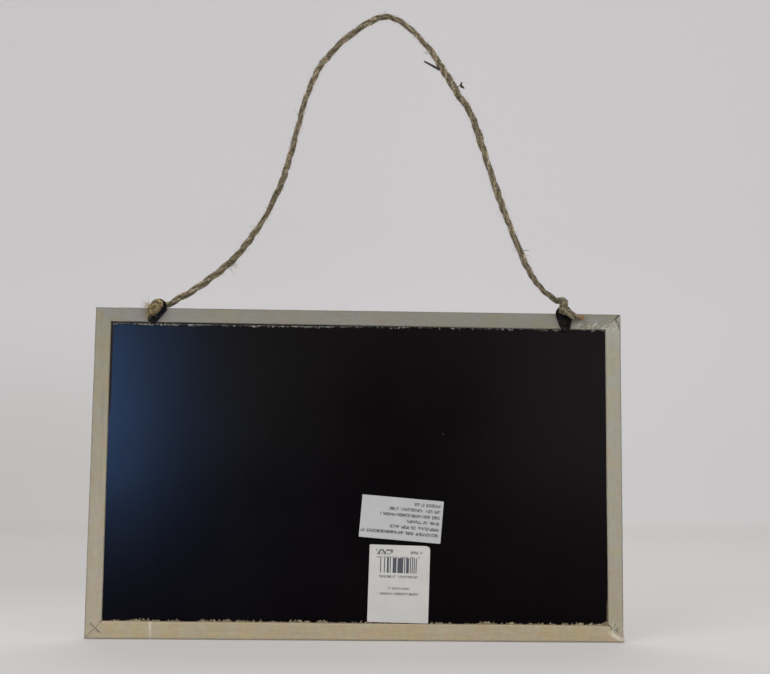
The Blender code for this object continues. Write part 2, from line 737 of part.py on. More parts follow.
def add_label(name, size, corner, place, turn, parts, material):
    """A paper label on the panel, turned clockwise as seen from the front."""
    right, top = size[0] / 2, size[1] / 2
    corners = [(-right, -top), (right, -top), (right, top), (-right, top)]
    outline = rounded_outline(corners, [corner] * 4, steps=4)
    label = add_flat_curve(name, [outline], LABEL_DEPTH, parts, material)
    label.location = (place[0], PANEL_FRONT_Y - SEAT_GAP - LABEL_DEPTH / 2, place[1])
    label.rotation_euler = (STAND_UP, turn, 0)
    return label


def add_labels(parts, material):
    """The tall label stands on the bottom rail's edge, and the wide one clears its top."""
    price_size = (PRICE_LABEL_WIDTH, PRICE_LABEL_HEIGHT)
    flat_width = PRICE_LABEL_WIDTH / 2 - PRICE_LABEL_CORNER
    flat_height = PRICE_LABEL_HEIGHT / 2 - PRICE_LABEL_CORNER
    turn = PRICE_LABEL_TURN
    price_reach = flat_height * math.cos(turn) + flat_width * math.sin(turn) + PRICE_LABEL_CORNER
    price_z = OPENING_FOOT_Z + LABEL_CLEARANCE + price_reach
    price_at = (PRICE_LABEL_X, price_z)
    add_label("label_price", price_size, PRICE_LABEL_CORNER, price_at, turn, parts, material)

    info_size = (INFO_LABEL_WIDTH, INFO_LABEL_HEIGHT)
    turn = INFO_LABEL_TURN
    half_rise = INFO_LABEL_HEIGHT / 2 / math.cos(turn)
    beside = PRICE_LABEL_X + PRICE_LABEL_WIDTH / 2 - INFO_LABEL_X
    info_z = price_z + price_reach + LABEL_SPACING + half_rise + beside * math.tan(turn)
    info_at = (INFO_LABEL_X, info_z)
    add_label("label_info", info_size, INFO_LABEL_CORNER, info_at, turn, parts, material)


def shade_round_pieces(pieces):
    """Smooth shading with creases kept."""
    for piece in pieces:
        piece.data.shade_smooth()
        piece.data.set_sharp_from_angle(angle=math.radians(40))


def build():
    clear_scene()
    parts, cutters = make_collections()
    wood = make_material("washed_wood", (0.42, 0.40, 0.34), 0.80)
    black_paint = make_material("chalkboard_black", (0.012, 0.012, 0.014), 0.35)
    black_steel = make_material("black_steel", (0.010, 0.010, 0.012), 0.40, 0.6)
    steel = make_material("staple_steel", (0.20, 0.19, 0.17), 0.45, 0.9)
    jute = make_material("jute", (0.33, 0.24, 0.14), 0.90)
    paper = make_material("label_paper", (0.75, 0.76, 0.77), 0.60)

    rails = add_rails(parts, wood)
    add_panel(parts, black_paint)
    add_staples(rails, parts, cutters, steel)
    top_rail = rails[0]
    add_hanger("left", LEFT_EYE, LEFT_PLATE_TURN, top_rail, parts, cutters, black_steel)
    add_hanger("right", RIGHT_EYE, RIGHT_PLATE_TURN, top_rail, parts, cutters, black_steel)
    knots = [add_left_knot(parts, cutters, jute), add_right_knot(parts, cutters, jute)]
    shade_round_pieces(knots)
    add_twine(parts, jute)
    add_labels(parts, paper)
    print(f"swing axis through {tuple(LEFT_EXIT)} along {tuple(SWING_AXIS)}")


build()
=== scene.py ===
# %% [markdown]
# # A small chalkboard on a loop of jute twine
#
# The real board is about 245 mm wide: a black writing panel in a mitred wooden frame, hung from a
# length of jute twine that is tied to two black hanger plates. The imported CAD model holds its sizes
# and its one moving part, the twine. This notebook gives every piece the surface that it has in the hand.
#
# A look can be painted on the CAD solids, or built as new meshes. Plates, tacks and staples are plain
# pressed metal, so they keep their solids. Wood, panel, labels and twine have a relief that shows, so
# each gets a mesh of its own, which lies exactly where its solid is.

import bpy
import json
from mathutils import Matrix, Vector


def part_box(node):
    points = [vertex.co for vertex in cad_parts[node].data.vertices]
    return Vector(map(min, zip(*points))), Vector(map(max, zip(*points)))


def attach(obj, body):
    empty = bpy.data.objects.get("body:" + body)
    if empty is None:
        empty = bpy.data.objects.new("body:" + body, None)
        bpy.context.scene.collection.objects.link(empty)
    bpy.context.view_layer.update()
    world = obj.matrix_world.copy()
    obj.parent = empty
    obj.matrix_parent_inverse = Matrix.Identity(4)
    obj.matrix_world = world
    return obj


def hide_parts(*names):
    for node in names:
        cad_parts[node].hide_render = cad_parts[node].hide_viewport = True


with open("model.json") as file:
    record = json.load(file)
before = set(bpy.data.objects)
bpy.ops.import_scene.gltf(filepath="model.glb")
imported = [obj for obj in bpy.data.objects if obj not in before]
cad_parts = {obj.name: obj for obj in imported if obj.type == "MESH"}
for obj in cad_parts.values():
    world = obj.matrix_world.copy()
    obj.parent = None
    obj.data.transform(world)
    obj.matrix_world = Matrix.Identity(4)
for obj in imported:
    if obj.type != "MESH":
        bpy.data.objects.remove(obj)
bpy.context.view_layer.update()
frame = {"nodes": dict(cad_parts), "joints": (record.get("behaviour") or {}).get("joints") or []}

# %% [markdown]
# ## The camera
#
# A photograph of a flat rectangle gives the camera away: the four outer corners of the frame are at
# known places on the board, so their places in the picture fix the distance, the three angles and the
# focal length. The camera stood 57 cm away, level with the board's middle, and looked up a little.

# %% The camera
import math

import bpy
import numpy as np
from mathutils import Matrix

CAMERA_PLACE = (-0.0027, -0.5655, -0.0664)
CAMERA_YAW = math.radians(-1.508)
CAMERA_PITCH = math.radians(6.073)
CAMERA_ROLL = math.radians(0.626)
FOCAL_PIXELS = 1200
IMAGE_WIDTH_PIXELS = 770
SENSOR_MM = 36


def add_to_scene(name, data):
    """An object at the origin, unturned and unscaled, that carries the given data."""
    made = bpy.data.objects.new(name, data)
    bpy.context.scene.collection.objects.link(made)
    return made


camera_data = bpy.data.cameras.new("camera")
camera_data.sensor_width = SENSOR_MM
camera_data.lens = SENSOR_MM * FOCAL_PIXELS / IMAGE_WIDTH_PIXELS
camera = add_to_scene("camera", camera_data)
camera.matrix_world = (
    Matrix.Translation(CAMERA_PLACE)
    @ Matrix.Rotation(CAMERA_YAW, 4, "Z")
    @ Matrix.Rotation(math.pi / 2 + CAMERA_PITCH, 4, "X")
    @ Matrix.Rotation(CAMERA_ROLL, 4, "Z")
)
bpy.context.scene.camera = camera
print(f"lens {camera_data.lens:.1f} mm, {-1000 * CAMERA_PLACE[1]:.0f} mm in front of the wall")

# %% [markdown]
# ## The twine's line
#
# Twine is a fixed length of something limp, so its line comes before its surface. This one shows from
# end to end: it leaves the left plate nearly level, climbs to a rounded crown and comes down to the top
# of the right plate. The points are the same ones that the CAD model follows, in metres from the
# board's middle and above its top edge.
#
# Straight runs between them would kink. A Catmull-Rom curve goes through every point, and steps that
# follow the square root of the spacing keep it from looping where two points are close.

# %% The twine's line
TWINE_ROUTE = (
    (-0.0835, 0.0052), (-0.0780, 0.0086), (-0.0693, 0.0151), (-0.0620, 0.0213), (-0.0569, 0.0266),
    (-0.0508, 0.0352), (-0.0463, 0.0420), (-0.0423, 0.0500), (-0.0378, 0.0604), (-0.0350, 0.0697),
    (-0.0328, 0.0781), (-0.0301, 0.0897), (-0.0273, 0.1010), (-0.0237, 0.1107), (-0.0205, 0.1176),
    (-0.0161, 0.1235), (-0.0103, 0.1299), (-0.0045, 0.1350), (0.0013, 0.1392), (0.0071, 0.1423),
    (0.0118, 0.1429), (0.0186, 0.1402), (0.0244, 0.1354), (0.0292, 0.1304), (0.0339, 0.1247),
    (0.0379, 0.1180), (0.0419, 0.1120), (0.0456, 0.1054), (0.0502, 0.0989), (0.0537, 0.0915),
    (0.0560, 0.0844), (0.0608, 0.0694), (0.0640, 0.0593), (0.0681, 0.0481), (0.0721, 0.0378),
    (0.0759, 0.0282), (0.0813, 0.0175), (0.0860, 0.0114), (0.0885, 0.0092),
)
TWINE_RADIUS = 0.00160
EXIT_SPAN = 0.18285
RUN_IN = 0.0004
TWINE_STEP = 0.00026
STEPS_PER_SPAN = 24

top_edge_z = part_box("rail_top")[1].z
swing = frame["joints"][0]
left_exit = np.array(swing["pos_m"])
swing_axis = np.array(swing["axis"])
right_exit = left_exit + swing_axis * EXIT_SPAN


def smooth_curve(guides):
    """A curve through all guides but the first and last, which only steer its ends.

    Between b and c it blends the lines ab, bc and cd twice over: first in pairs, then the pairs.
    The blend's clock runs by the square root of each distance.
    """
    a, b, c, d = (guides[i:i + len(guides) - 3, None] for i in range(4))

    def clock(start, p, q):
        return start + np.sqrt(np.linalg.norm(q - p, axis=-1, keepdims=True))

    time_a = np.zeros_like(a[..., :1])
    time_b = clock(time_a, a, b)
    time_c = clock(time_b, b, c)
    time_d = clock(time_c, c, d)
    time = time_b + (time_c - time_b) * np.linspace(0, 1, STEPS_PER_SPAN, endpoint=False)[:, None]

    def blend(p, q, at_p, at_q):
        return p + (q - p) * (time - at_p) / (at_q - at_p)

    ab, bc, cd = blend(a, b, time_a, time_b), blend(b, c, time_b, time_c), blend(c, d, time_c, time_d)
    abc, bcd = blend(ab, bc, time_a, time_c), blend(bc, cd, time_b, time_d)
    return np.concatenate([blend(abc, bcd, time_b, time_c).reshape(-1, 3), guides[-2:-1]])


def lengths_along(line):
    """Distance from the line's start to each of its points."""
    return np.concatenate([[0], np.cumsum(np.linalg.norm(np.diff(line, axis=0), axis=1))])


def spaced(line, step):
    """The same line with its points one step apart."""
    along = lengths_along(line)
    at = np.linspace(0, along[-1], max(3, round(along[-1] / step) + 1))
    return np.stack([np.interp(at, along, line[:, k]) for k in range(3)], axis=1)


route = np.array([(x, left_exit[1], top_edge_z + rise) for x, rise in TWINE_ROUTE])
run_in, run_out = left_exit + swing_axis * RUN_IN, right_exit - swing_axis * RUN_IN
twine_guides = np.vstack([left_exit, run_in, route, run_out, right_exit])
twine_line = np.vstack([left_exit, smooth_curve(twine_guides), right_exit])
twine_line = spaced(twine_line, TWINE_STEP)
twine_length = float(lengths_along(twine_line)[-1])
print(f"free twine {1000 * twine_length:.1f} mm in {len(twine_line)} points")

# %% [markdown]
# ## Numbers that look grown
#
# Wood, jute and chipped paint are uneven, but not at random: neighbouring places are alike. Smooth
# noise gives that. Random values sit on a lattice, and each point blends the eight values round it.
# Long thin cells give grain, and round ones give blotches. The seed is fixed, so the notebook makes the
# same board each time.

# %% Smooth noise, ramps and distances as whole arrays
import itertools

LATTICE = 64


def smooth_noise(points, cell, seed):
    """Noise from -1 to 1. Inside a cell of the given size, t runs from 0 to 1 each way, and the
    corner values are weighted by t*t*(3 - 2*t) and its opposite."""
    table = np.random.default_rng(seed).uniform(-1, 1, (LATTICE,) * 3)
    place = np.asarray(points) / np.asarray(cell)
    low = np.floor(place).astype(int)
    t = place - low
    t = t * t * (3 - 2 * t)
    total = np.zeros(place.shape[:-1])
    for corner in itertools.product((0, 1), repeat=3):
        x, y, z = np.moveaxis((low + corner) % LATTICE, -1, 0)
        weight = np.where(np.array(corner) == 1, t, 1 - t).prod(axis=-1)
        total += weight * table[x, y, z]
    return total


def rise(low, high, value):
    """0 below low, 1 above high, and the smooth step t*t*(3 - 2*t) between."""
    t = np.clip((value - low) / (high - low), 0, 1)
    return t * t * (3 - 2 * t)


def from_segment(x, z, start, end):
    """Distance of each point from the straight segment between two places on the board."""
    start, end = np.array(start), np.array(end)
    run = end - start
    share = np.clip(((x - start[0]) * run[0] + (z - start[1]) * run[1]) / (run @ run), 0, 1)
    return np.hypot(x - start[0] - share * run[0], z - start[1] - share * run[1])


# %% [markdown]
# ## From a grid of numbers to a piece
#
# Every new surface here is a grid: rows along the piece and columns round it. Joining each point to
# its neighbours gives four-sided faces, and one face closes each end. The sum of every face's volume
# with the origin is positive when the faces point out, so a negative sum means that they all have to be
# turned round. What varies over a surface, such as wear, goes with its points as a named attribute,
# which the material reads later.

# %% Grids, meshes and pieces
SMOOTH_BELOW = math.radians(38)


def grid_faces(rows, columns):
    """Corner numbers of the faces of a grid whose last column joins its first one."""
    i, j = np.meshgrid(np.arange(rows - 1), np.arange(columns), indexing="ij")
    here, beside = i * columns + j, i * columns + (j + 1) % columns
    return np.stack([here, beside, beside + columns, here + columns], axis=-1).reshape(-1, 4)


def closed_faces(rows, columns):
    """The same faces and one over each end, which close the grid."""
    start, end = list(range(columns))[::-1], [(rows - 1) * columns + j for j in range(columns)]
    return grid_faces(rows, columns).tolist() + [start, end]


def volume(points, faces):
    """Signed volume: for each triangle a, b, c of a face's fan, a.(b x c) / 6."""
    total = 0.0
    for size in {len(face) for face in faces}:
        same = np.array([face for face in faces if len(face) == size])
        for k in range(1, size - 1):
            a, b, c = points[same[:, 0]], points[same[:, k]], points[same[:, k + 1]]
            total += np.einsum("ij,ij->", a, np.cross(b, c)) / 6
    return total


def make_mesh(name, points, faces, attributes=None, sharp=SMOOTH_BELOW):
    """A mesh whose faces point out, with an attribute of one number a point for each name given."""
    if volume(points, faces) < 0:
        faces = [face[::-1] for face in faces]
    mesh = bpy.data.meshes.new(name)
    mesh.from_pydata(points.tolist(), [], faces)
    for key, values in (attributes or {}).items():
        layer = mesh.attributes.new(key, "FLOAT", "POINT")
        layer.data.foreach_set("value", np.asarray(values, np.float32).ravel())
    mesh.shade_smooth()
    mesh.set_sharp_from_angle(angle=sharp)
    return mesh


def closed_grid(name, grid, attributes=None, sharp=SMOOTH_BELOW):
    """A closed mesh from a grid of rows along and columns round, with a face over each end."""
    return make_mesh(name, grid.reshape(-1, 3), closed_faces(*grid.shape[:2]), attributes, sharp)


def make_piece(mesh, material, slot, body, *nodes):
    """A piece from a mesh: its material, the body that it rides on and what it replaces. The slot is not
    used.
    """
    mesh.materials.append(material)
    piece = add_to_scene(mesh.name, mesh)
    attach(piece, body)
    if nodes:
        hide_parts(*nodes)
    print(f"{piece.name}: {len(mesh.vertices)} points, {len(mesh.polygons)} faces")
    return piece


# %% [markdown]
# ## Shader tools
#
# A material is a small network. These helpers add a node, link what changes over the surface and set
# what doesn't straight on the input. Effects that several finishes share are groups: streaks that run
# one way, round blotches, and sparse specks. Each is built once and placed with its own sizes.

# %% Nodes, links and groups
def new_node(tree, kind, **settings):
    """A node with its settings."""
    made = tree.nodes.new(kind)
    for name, value in settings.items():
        setattr(made, name, value)
    return made


def feed(tree, socket, value):
    """Link a socket's value, or set a constant on the input itself."""
    if isinstance(value, bpy.types.NodeSocket):
        tree.links.new(value, socket)
    else:
        socket.default_value = value


def math_node(tree, operation, *values, kind="ShaderNodeMath"):
    """One step of arithmetic."""
    made = new_node(tree, kind, operation=operation)
    for socket, value in zip(made.inputs, values):
        feed(tree, socket, value)
    return made.outputs[0]


def vector_node(tree, operation, *values):
    """The same on vectors."""
    return math_node(tree, operation, *values, kind="ShaderNodeVectorMath")


def scaled(tree, value, factor):
    """A value times a factor."""
    return math_node(tree, "MULTIPLY", value, factor)


def ramp(tree, value, low, high, to_low=0.0, to_high=1.0):
    """A smooth step between two values."""
    made = new_node(tree, "ShaderNodeMapRange", interpolation_type="SMOOTHSTEP")
    for socket, given in zip(made.inputs, (value, low, high, to_low, to_high)):
        feed(tree, socket, given)
    return made.outputs[0]


def mix(tree, share, first, second, blend_type="MIX"):
    """Two colours mixed, or multiplied, by a share."""
    made = new_node(tree, "ShaderNodeMix", data_type="RGBA", blend_type=blend_type)
    for socket, value in zip((made.inputs[0], made.inputs[6], made.inputs[7]), (share, first, second)):
        feed(tree, socket, (*value, 1.0) if isinstance(value, tuple) else value)
    return made.outputs[2]


def tint(tree, colour, factors):
    """A colour with each of its three parts multiplied."""
    return mix(tree, 1.0, colour, factors, "MULTIPLY")


def layered(tree, colour, *layers):
    """A colour under others that are laid over it in turn, each by its own mask."""
    for mask, over in layers:
        colour = mix(tree, mask, colour, over)
    return colour


def attribute(tree, name):
    """A number that numpy stored on the mesh's points."""
    return new_node(tree, "ShaderNodeAttribute", attribute_name=name).outputs["Fac"]


def object_place(tree, turn=(0, 0, 0), shift=(0, 0, 0)):
    """Place on the piece in metres, turned or shifted for a pattern with a direction."""
    place = new_node(tree, "ShaderNodeTexCoord").outputs["Object"]
    mapping = new_node(tree, "ShaderNodeMapping")
    feed(tree, mapping.inputs["Vector"], place)
    feed(tree, mapping.inputs["Rotation"], turn)
    feed(tree, mapping.inputs["Location"], shift)
    return mapping.outputs[0]


def new_group(name, inputs):
    """A group with one value out. Inputs are names and defaults, and three numbers mean a vector."""
    tree = bpy.data.node_groups.new(name, "ShaderNodeTree")
    for label, default in inputs.items():
        kind = "NodeSocketVector" if isinstance(default, tuple) else "NodeSocketFloat"
        tree.interface.new_socket(label, in_out="INPUT", socket_type=kind).default_value = default
    tree.interface.new_socket("Value", in_out="OUTPUT", socket_type="NodeSocketFloat")
    return tree, new_node(tree, "NodeGroupInput").outputs, new_node(tree, "NodeGroupOutput").inputs[0]


def placed(tree, group, **inputs):
    """A group in a material, with its own values. Its output changes over the surface."""
    made = new_node(tree, "ShaderNodeGroup", node_tree=group)
    for name, value in inputs.items():
        feed(tree, made.inputs[name], value)
    return made.outputs[0]


def new_finish(name, roughness, **constants):
    """A Principled material, its tree and its shader's inputs, with the constants already set."""
    material = bpy.data.materials.new(name)
    material.use_nodes = True
    shader = material.node_tree.nodes["Principled BSDF"].inputs
    shader["Roughness"].default_value = roughness
    for label, value in constants.items():
        shader[label.replace("_", " ")].default_value = value
    return material, material.node_tree, shader


def add_bump(tree, shader, height, distance):
    """Small relief from a height from 0 to 1."""
    bump = new_node(tree, "ShaderNodeBump")
    bump.inputs["Distance"].default_value = distance
    tree.links.new(height, bump.inputs["Height"])
    tree.links.new(bump.outputs[0], shader["Normal"])


# %% Shared effects: streaks, blotches and specks
STREAKS, source, result = new_group("streaks", {"Vector": (0, 0, 0), "Length": 0.01, "Width": 0.001})
cell_size = new_node(STREAKS, "ShaderNodeCombineXYZ")
for axis, label in enumerate(("Length", "Width", "Width")):
    feed(STREAKS, cell_size.inputs[axis], source[label])
streak_noise = new_node(STREAKS, "ShaderNodeTexNoise")
in_cells = vector_node(STREAKS, "DIVIDE", source["Vector"], cell_size.outputs[0])
feed(STREAKS, streak_noise.inputs["Vector"], in_cells)
feed(STREAKS, streak_noise.inputs["Scale"], 1.0)
feed(STREAKS, streak_noise.inputs["Detail"], 2.0)
feed(STREAKS, result, ramp(STREAKS, streak_noise.outputs["Fac"], 0.25, 0.75))

BLOTCHES, source, result = new_group("blotches", {"Vector": (0, 0, 0), "Size": 0.01})
blotch_noise = new_node(BLOTCHES, "ShaderNodeTexNoise")
feed(BLOTCHES, blotch_noise.inputs["Vector"], source["Vector"])
feed(BLOTCHES, blotch_noise.inputs["Scale"], math_node(BLOTCHES, "DIVIDE", 1.0, source["Size"]))
feed(BLOTCHES, blotch_noise.inputs["Detail"], 3.0)
feed(BLOTCHES, result, ramp(BLOTCHES, blotch_noise.outputs["Fac"], 0.3, 0.7))


def blotches(tree, place, size):
    """Round soft patches of about one size."""
    return placed(tree, BLOTCHES, Vector=place, Size=size)


SPECKS, source, result = new_group(
    "specks", {"Vector": (0, 0, 0), "Spacing": 0.01, "Size": 0.0003, "Share": 0.3},
)
cells = new_node(SPECKS, "ShaderNodeTexVoronoi")
feed(SPECKS, cells.inputs["Vector"], source["Vector"])
feed(SPECKS, cells.inputs["Scale"], math_node(SPECKS, "DIVIDE", 1.0, source["Spacing"]))
speck_reach = math_node(SPECKS, "DIVIDE", source["Size"], source["Spacing"])
near_middle = math_node(SPECKS, "LESS_THAN", cells.outputs["Distance"], speck_reach)
one_draw = vector_node(SPECKS, "MULTIPLY", cells.outputs["Color"], (1, 0, 0))
chosen = math_node(SPECKS, "LESS_THAN", one_draw, source["Share"])
feed(SPECKS, result, scaled(SPECKS, near_middle, chosen))
print("shader groups:", [group.name for group in bpy.data.node_groups])

# %% [markdown]
# ## Jute
#
# Jute is a bast fibre. Its cheap twine is three loose plies laid round each other, and each ply is a
# bundle of nearly straight fibres with odd bits of dark bark left in. The plies catch the light one after
# another, which gives the twine its row of pale and dark patches.
#
# Three helical tubes would be the obvious way, but they are three surfaces that cut each other. One
# surface does it better: seen end on, the outline is three circles, and that outline turns once in each
# pitch. The fibres are shallow scratches along it.

# %% The surface of a laid cord
PLY_RADIUS_SHARE = 0.464
PLY_OFFSET_SHARE = 0.536
GROOVE_FLOOR_SHARE = 0.66
GROOVE_TOP_SHARE = 0.93
CUT_FADE = 0.06
LAY_PITCH = 0.0235
LAY_WANDER, WANDER_CELL = 1.5, (0.019, 1, 1)
PLY_SWELL, SWELL_CELL = 0.11, (0.007, 1, 1)
PLY_TONE_CELL = (0.0055, 1, 1)
FIBRE_RELIEF, FIBRE_CELL = 0.045, (0.00030, 0.00030, 0.0030)
TUFT_RELIEF, TUFT_CELL = 0.035, (0.0009, 0.0009, 0.0018)
APART = 7
PLIES = 3
PLY_TURN = 2 * math.pi / PLIES
NEVER_CUT = 2.0


def laid_cord(line, radius, around, seed, steer=(0, 1, 0), cut_from=NEVER_CUT):
    """Surface of a cord of three plies, and what its material reads.

    In a direction p from the nearest ply's middle, three touching circles reach
    d*cos(p) + sqrt(a*a - (d*sin(p))**2), where a is a ply's radius and d is how far its middle is
    out. That outline turns with the distance along the line. The steer is any direction that the line
    never takes: square to it and to the line lies the cord's first side. From the share cut_from
    on, the attribute cut marks the browned end of a strand.
    """
    along = lengths_along(line)
    ahead = np.gradient(line, axis=0)
    ahead /= np.linalg.norm(ahead, axis=1, keepdims=True)
    side = np.cross(np.array(steer, float), ahead)
    side /= np.linalg.norm(side, axis=1, keepdims=True)
    other = np.cross(ahead, side)

    turn = np.linspace(0, 2 * math.pi, around, endpoint=False)
    slow = np.stack([along, np.full_like(along, seed), np.zeros_like(along)], axis=-1)
    lay = 2 * math.pi * along / LAY_PITCH + LAY_WANDER * smooth_noise(slow, WANDER_CELL, seed)
    from_ply = (turn[None] - lay[:, None]) % PLY_TURN - PLY_TURN / 2
    inside = PLY_RADIUS_SHARE ** 2 - (PLY_OFFSET_SHARE * np.sin(from_ply)) ** 2
    reach = PLY_OFFSET_SHARE * np.cos(from_ply) + np.sqrt(np.maximum(inside, 0))
    share = np.maximum(reach, GROOVE_FLOOR_SHARE)

    radius = np.broadcast_to(radius, along.shape)
    ply = np.floor((turn[None] - lay[:, None]) / PLY_TURN) % PLIES
    at = np.broadcast_to(along[:, None], ply.shape)
    ply_place = np.stack([at, APART * ply, np.full(ply.shape, seed)], axis=-1)
    fullness = 1 + PLY_SWELL * smooth_noise(ply_place, SWELL_CELL, seed + 1)
    skin = np.stack([radius[:, None] * np.cos(turn), radius[:, None] * np.sin(turn), at], axis=-1)
    fibre = smooth_noise(skin, FIBRE_CELL, seed + 2)
    tuft = smooth_noise(skin, TUFT_CELL, seed + 3)
    out = radius[:, None] * share * fullness * (1 + FIBRE_RELIEF * fibre + TUFT_RELIEF * tuft)
    grid = line[:, None] + out[..., None] * (
        side[:, None] * np.cos(turn)[None, :, None] + other[:, None] * np.sin(turn)[None, :, None]
    )
    browned = rise(cut_from, cut_from + CUT_FADE, along / along[-1])
    looks = {
        "groove": rise(GROOVE_TOP_SHARE, GROOVE_FLOOR_SHARE, share),
        "fibre": 0.5 + 0.5 * fibre,
        "ply_tone": 0.5 + 0.5 * smooth_noise(ply_place, PLY_TONE_CELL, seed + 4),
        "cut": np.broadcast_to(browned[:, None], share.shape),
    }
    return grid, looks


# %% Jute's finish
JUTE_PALE = (0.405, 0.325, 0.214)
JUTE_MIDDLE = (0.224, 0.177, 0.112)
JUTE_DARK = (0.036, 0.029, 0.018)
JUTE_OLIVE = (0.125, 0.118, 0.048)
JUTE_BLUSH = (0.245, 0.165, 0.118)
JUTE_RUST = (0.300, 0.120, 0.035)
AWAY = (0.31, 0.17, 0.23)


def jute_finish(name, pale, middle, olive_share):
    """Pale and darker plies, thin dark fibres, painted shade in the grooves, and greenish and reddish
    patches.
    """
    material, tree, shader = new_finish(
        name, 0.92, Sheen_Weight=0.12, Sheen_Roughness=0.6, Specular_IOR_Level=0.15,
    )
    place = object_place(tree)
    patches = blotches(tree, place, 0.0034)
    reddish = blotches(tree, object_place(tree, shift=AWAY), 0.0026)
    flecks = blotches(tree, place, 0.0010)
    colour = layered(
        tree, mix(tree, ramp(tree, attribute(tree, "ply_tone"), 0.15, 0.9), middle, pale),
        (scaled(tree, patches, olive_share), JUTE_OLIVE),
        (ramp(tree, reddish, 0.45, 1.0, 0.0, 0.45), JUTE_BLUSH),
        (ramp(tree, flecks, 0.46, 0.80, 0.0, 0.82), JUTE_DARK),
        (ramp(tree, attribute(tree, "fibre"), 0.60, 0.15, 0.0, 0.45), JUTE_DARK),
        # painted shade: the grooves between the plies are darkened
        (scaled(tree, attribute(tree, "groove"), 0.50), JUTE_DARK),
        (scaled(tree, attribute(tree, "cut"), 0.60), JUTE_RUST),
    )
    feed(tree, shader["Base Color"], colour)
    add_bump(tree, shader, blotches(tree, place, 0.0005), 0.00012)
    return material


JUTE = jute_finish("jute", JUTE_PALE, JUTE_MIDDLE, 0.65)
LEFT_KNOT_JUTE = jute_finish("jute_of_the_left_knot", (0.50, 0.37, 0.180), (0.30, 0.205, 0.080), 0.45)
RIGHT_KNOT_JUTE = jute_finish("jute_of_the_right_knot", (0.36, 0.305, 0.205), (0.225, 0.185, 0.105), 0.60)
print("jute finishes:", [material.name for material in (JUTE, LEFT_KNOT_JUTE, RIGHT_KNOT_JUTE)])

# %% The free twine
TWINE_AROUND = 60
THICKNESS_SHARES = (
    (0.00, 0.92), (0.02, 1.04), (0.04, 1.14), (0.07, 1.05), (0.10, 1.16), (0.12, 1.08), (0.15, 1.00),
    (0.175, 0.82), (0.20, 0.87), (0.23, 1.00), (0.26, 0.92), (0.32, 0.86), (0.38, 0.92), (0.43, 0.99),
    (0.475, 0.99), (0.493, 1.08), (0.513, 0.93), (0.55, 0.84), (0.57, 0.86), (0.61, 0.93), (0.634, 1.06),
    (0.655, 1.16), (0.68, 1.14), (0.70, 1.06), (0.726, 1.03), (0.745, 1.26), (0.765, 1.08), (0.79, 0.98),
    (0.82, 1.08), (0.855, 0.99), (0.885, 0.92), (0.918, 1.03), (0.95, 0.88), (1.00, 0.88),
)

length_share = np.linspace(0, 1, len(twine_line))
twine_radii = TWINE_RADIUS * np.interp(length_share, *np.transpose(THICKNESS_SHARES))
grid, looks = laid_cord(twine_line, twine_radii, TWINE_AROUND, seed=11)
twine = make_piece(closed_grid("jute_twine", grid, looks), JUTE, "jute", "twine_loop", "twine")

# %% [markdown]
# ## The knots
#
# The left end goes through the plate's eye, turns once round in front of it and stops with its cut
# end facing out. The right end comes over the plate's top, down the front, and back through the eye, with
# a short tail under a crossing turn. A knot could be sculpted as one lump. Here it is the same laid
# cord along a few short lines, so that its plies run on through the knot as they do on the twine.

# %% Both knots
KNOT_STEP = 0.00022
KNOT_AROUND = 44
KNOT_STEER = (0.45, 0.62, 0.64)
KNOT_OVERLAP = 0.0005
LEFT_TURN_MIDDLE = (-0.0945, 0.0048)
LEFT_TURN_LONG, LEFT_TURN_SHORT = 0.00300, 0.00115
LEFT_TURN_LEAN = math.radians(50)
LEFT_TURN_DEPTH, LEFT_TURN_FORWARD = -0.0121, 0.0004
LEFT_TURN_STOPS = np.radians((-20, 25, 70, 115, 160, 205, 245, 285, 320, 350))
LEFT_TURN_SHRINK = np.array((1, 1, 1, 1, 1, 1, 1, 0.9, 0.65, 0.35))
LEFT_RADII = (0.00150, 0.00125, 0.00135, 0.00165, 0.00172, 0.00172, 0.00168, 0.00160, 0.00130)
PLATE_EDGE_RUN, LEFT_EXIT_RUN = 0.0012, 0.0032
THROUGH_THE_EYE = ((0.0002, -0.0010, 0), (0.0001, -0.0030, -0.0002))
CUT_END_DEPTH, CUT_END_OFF = -0.0131, (-0.0001, -0.0002)


def cord_along(points, radius, seed, steer=KNOT_STEER, cut_from=NEVER_CUT):
    """A short laid cord through given places, as points, faces and looks. Its radius can
    change evenly from one given value to the next."""
    guides = np.array(points)
    guides = np.vstack([2 * guides[0] - guides[1], guides, 2 * guides[-1] - guides[-2]])
    line = spaced(smooth_curve(guides), KNOT_STEP)
    share = np.linspace(0, 1, len(line))
    radii = np.interp(share, np.linspace(0, 1, len(radius)), radius)
    grid, looks = laid_cord(line, radii, KNOT_AROUND, seed, steer, cut_from)
    return grid.reshape(-1, 3), closed_faces(*grid.shape[:2]), looks


def joined(name, parts):
    """Several closed bodies as one mesh, each with its faces pointing out."""
    points, faces, looks, start = [], [], {}, 0
    for part_points, part_faces, part_looks in parts:
        flip = volume(part_points, part_faces) < 0
        faces += [[start + k for k in (face[::-1] if flip else face)] for face in part_faces]
        points.append(part_points)
        start += len(part_points)
        for key, values in part_looks.items():
            looks.setdefault(key, []).append(np.asarray(values).ravel())
    return make_mesh(name, np.vstack(points), faces, {key: np.concatenate(v) for key, v in looks.items()})


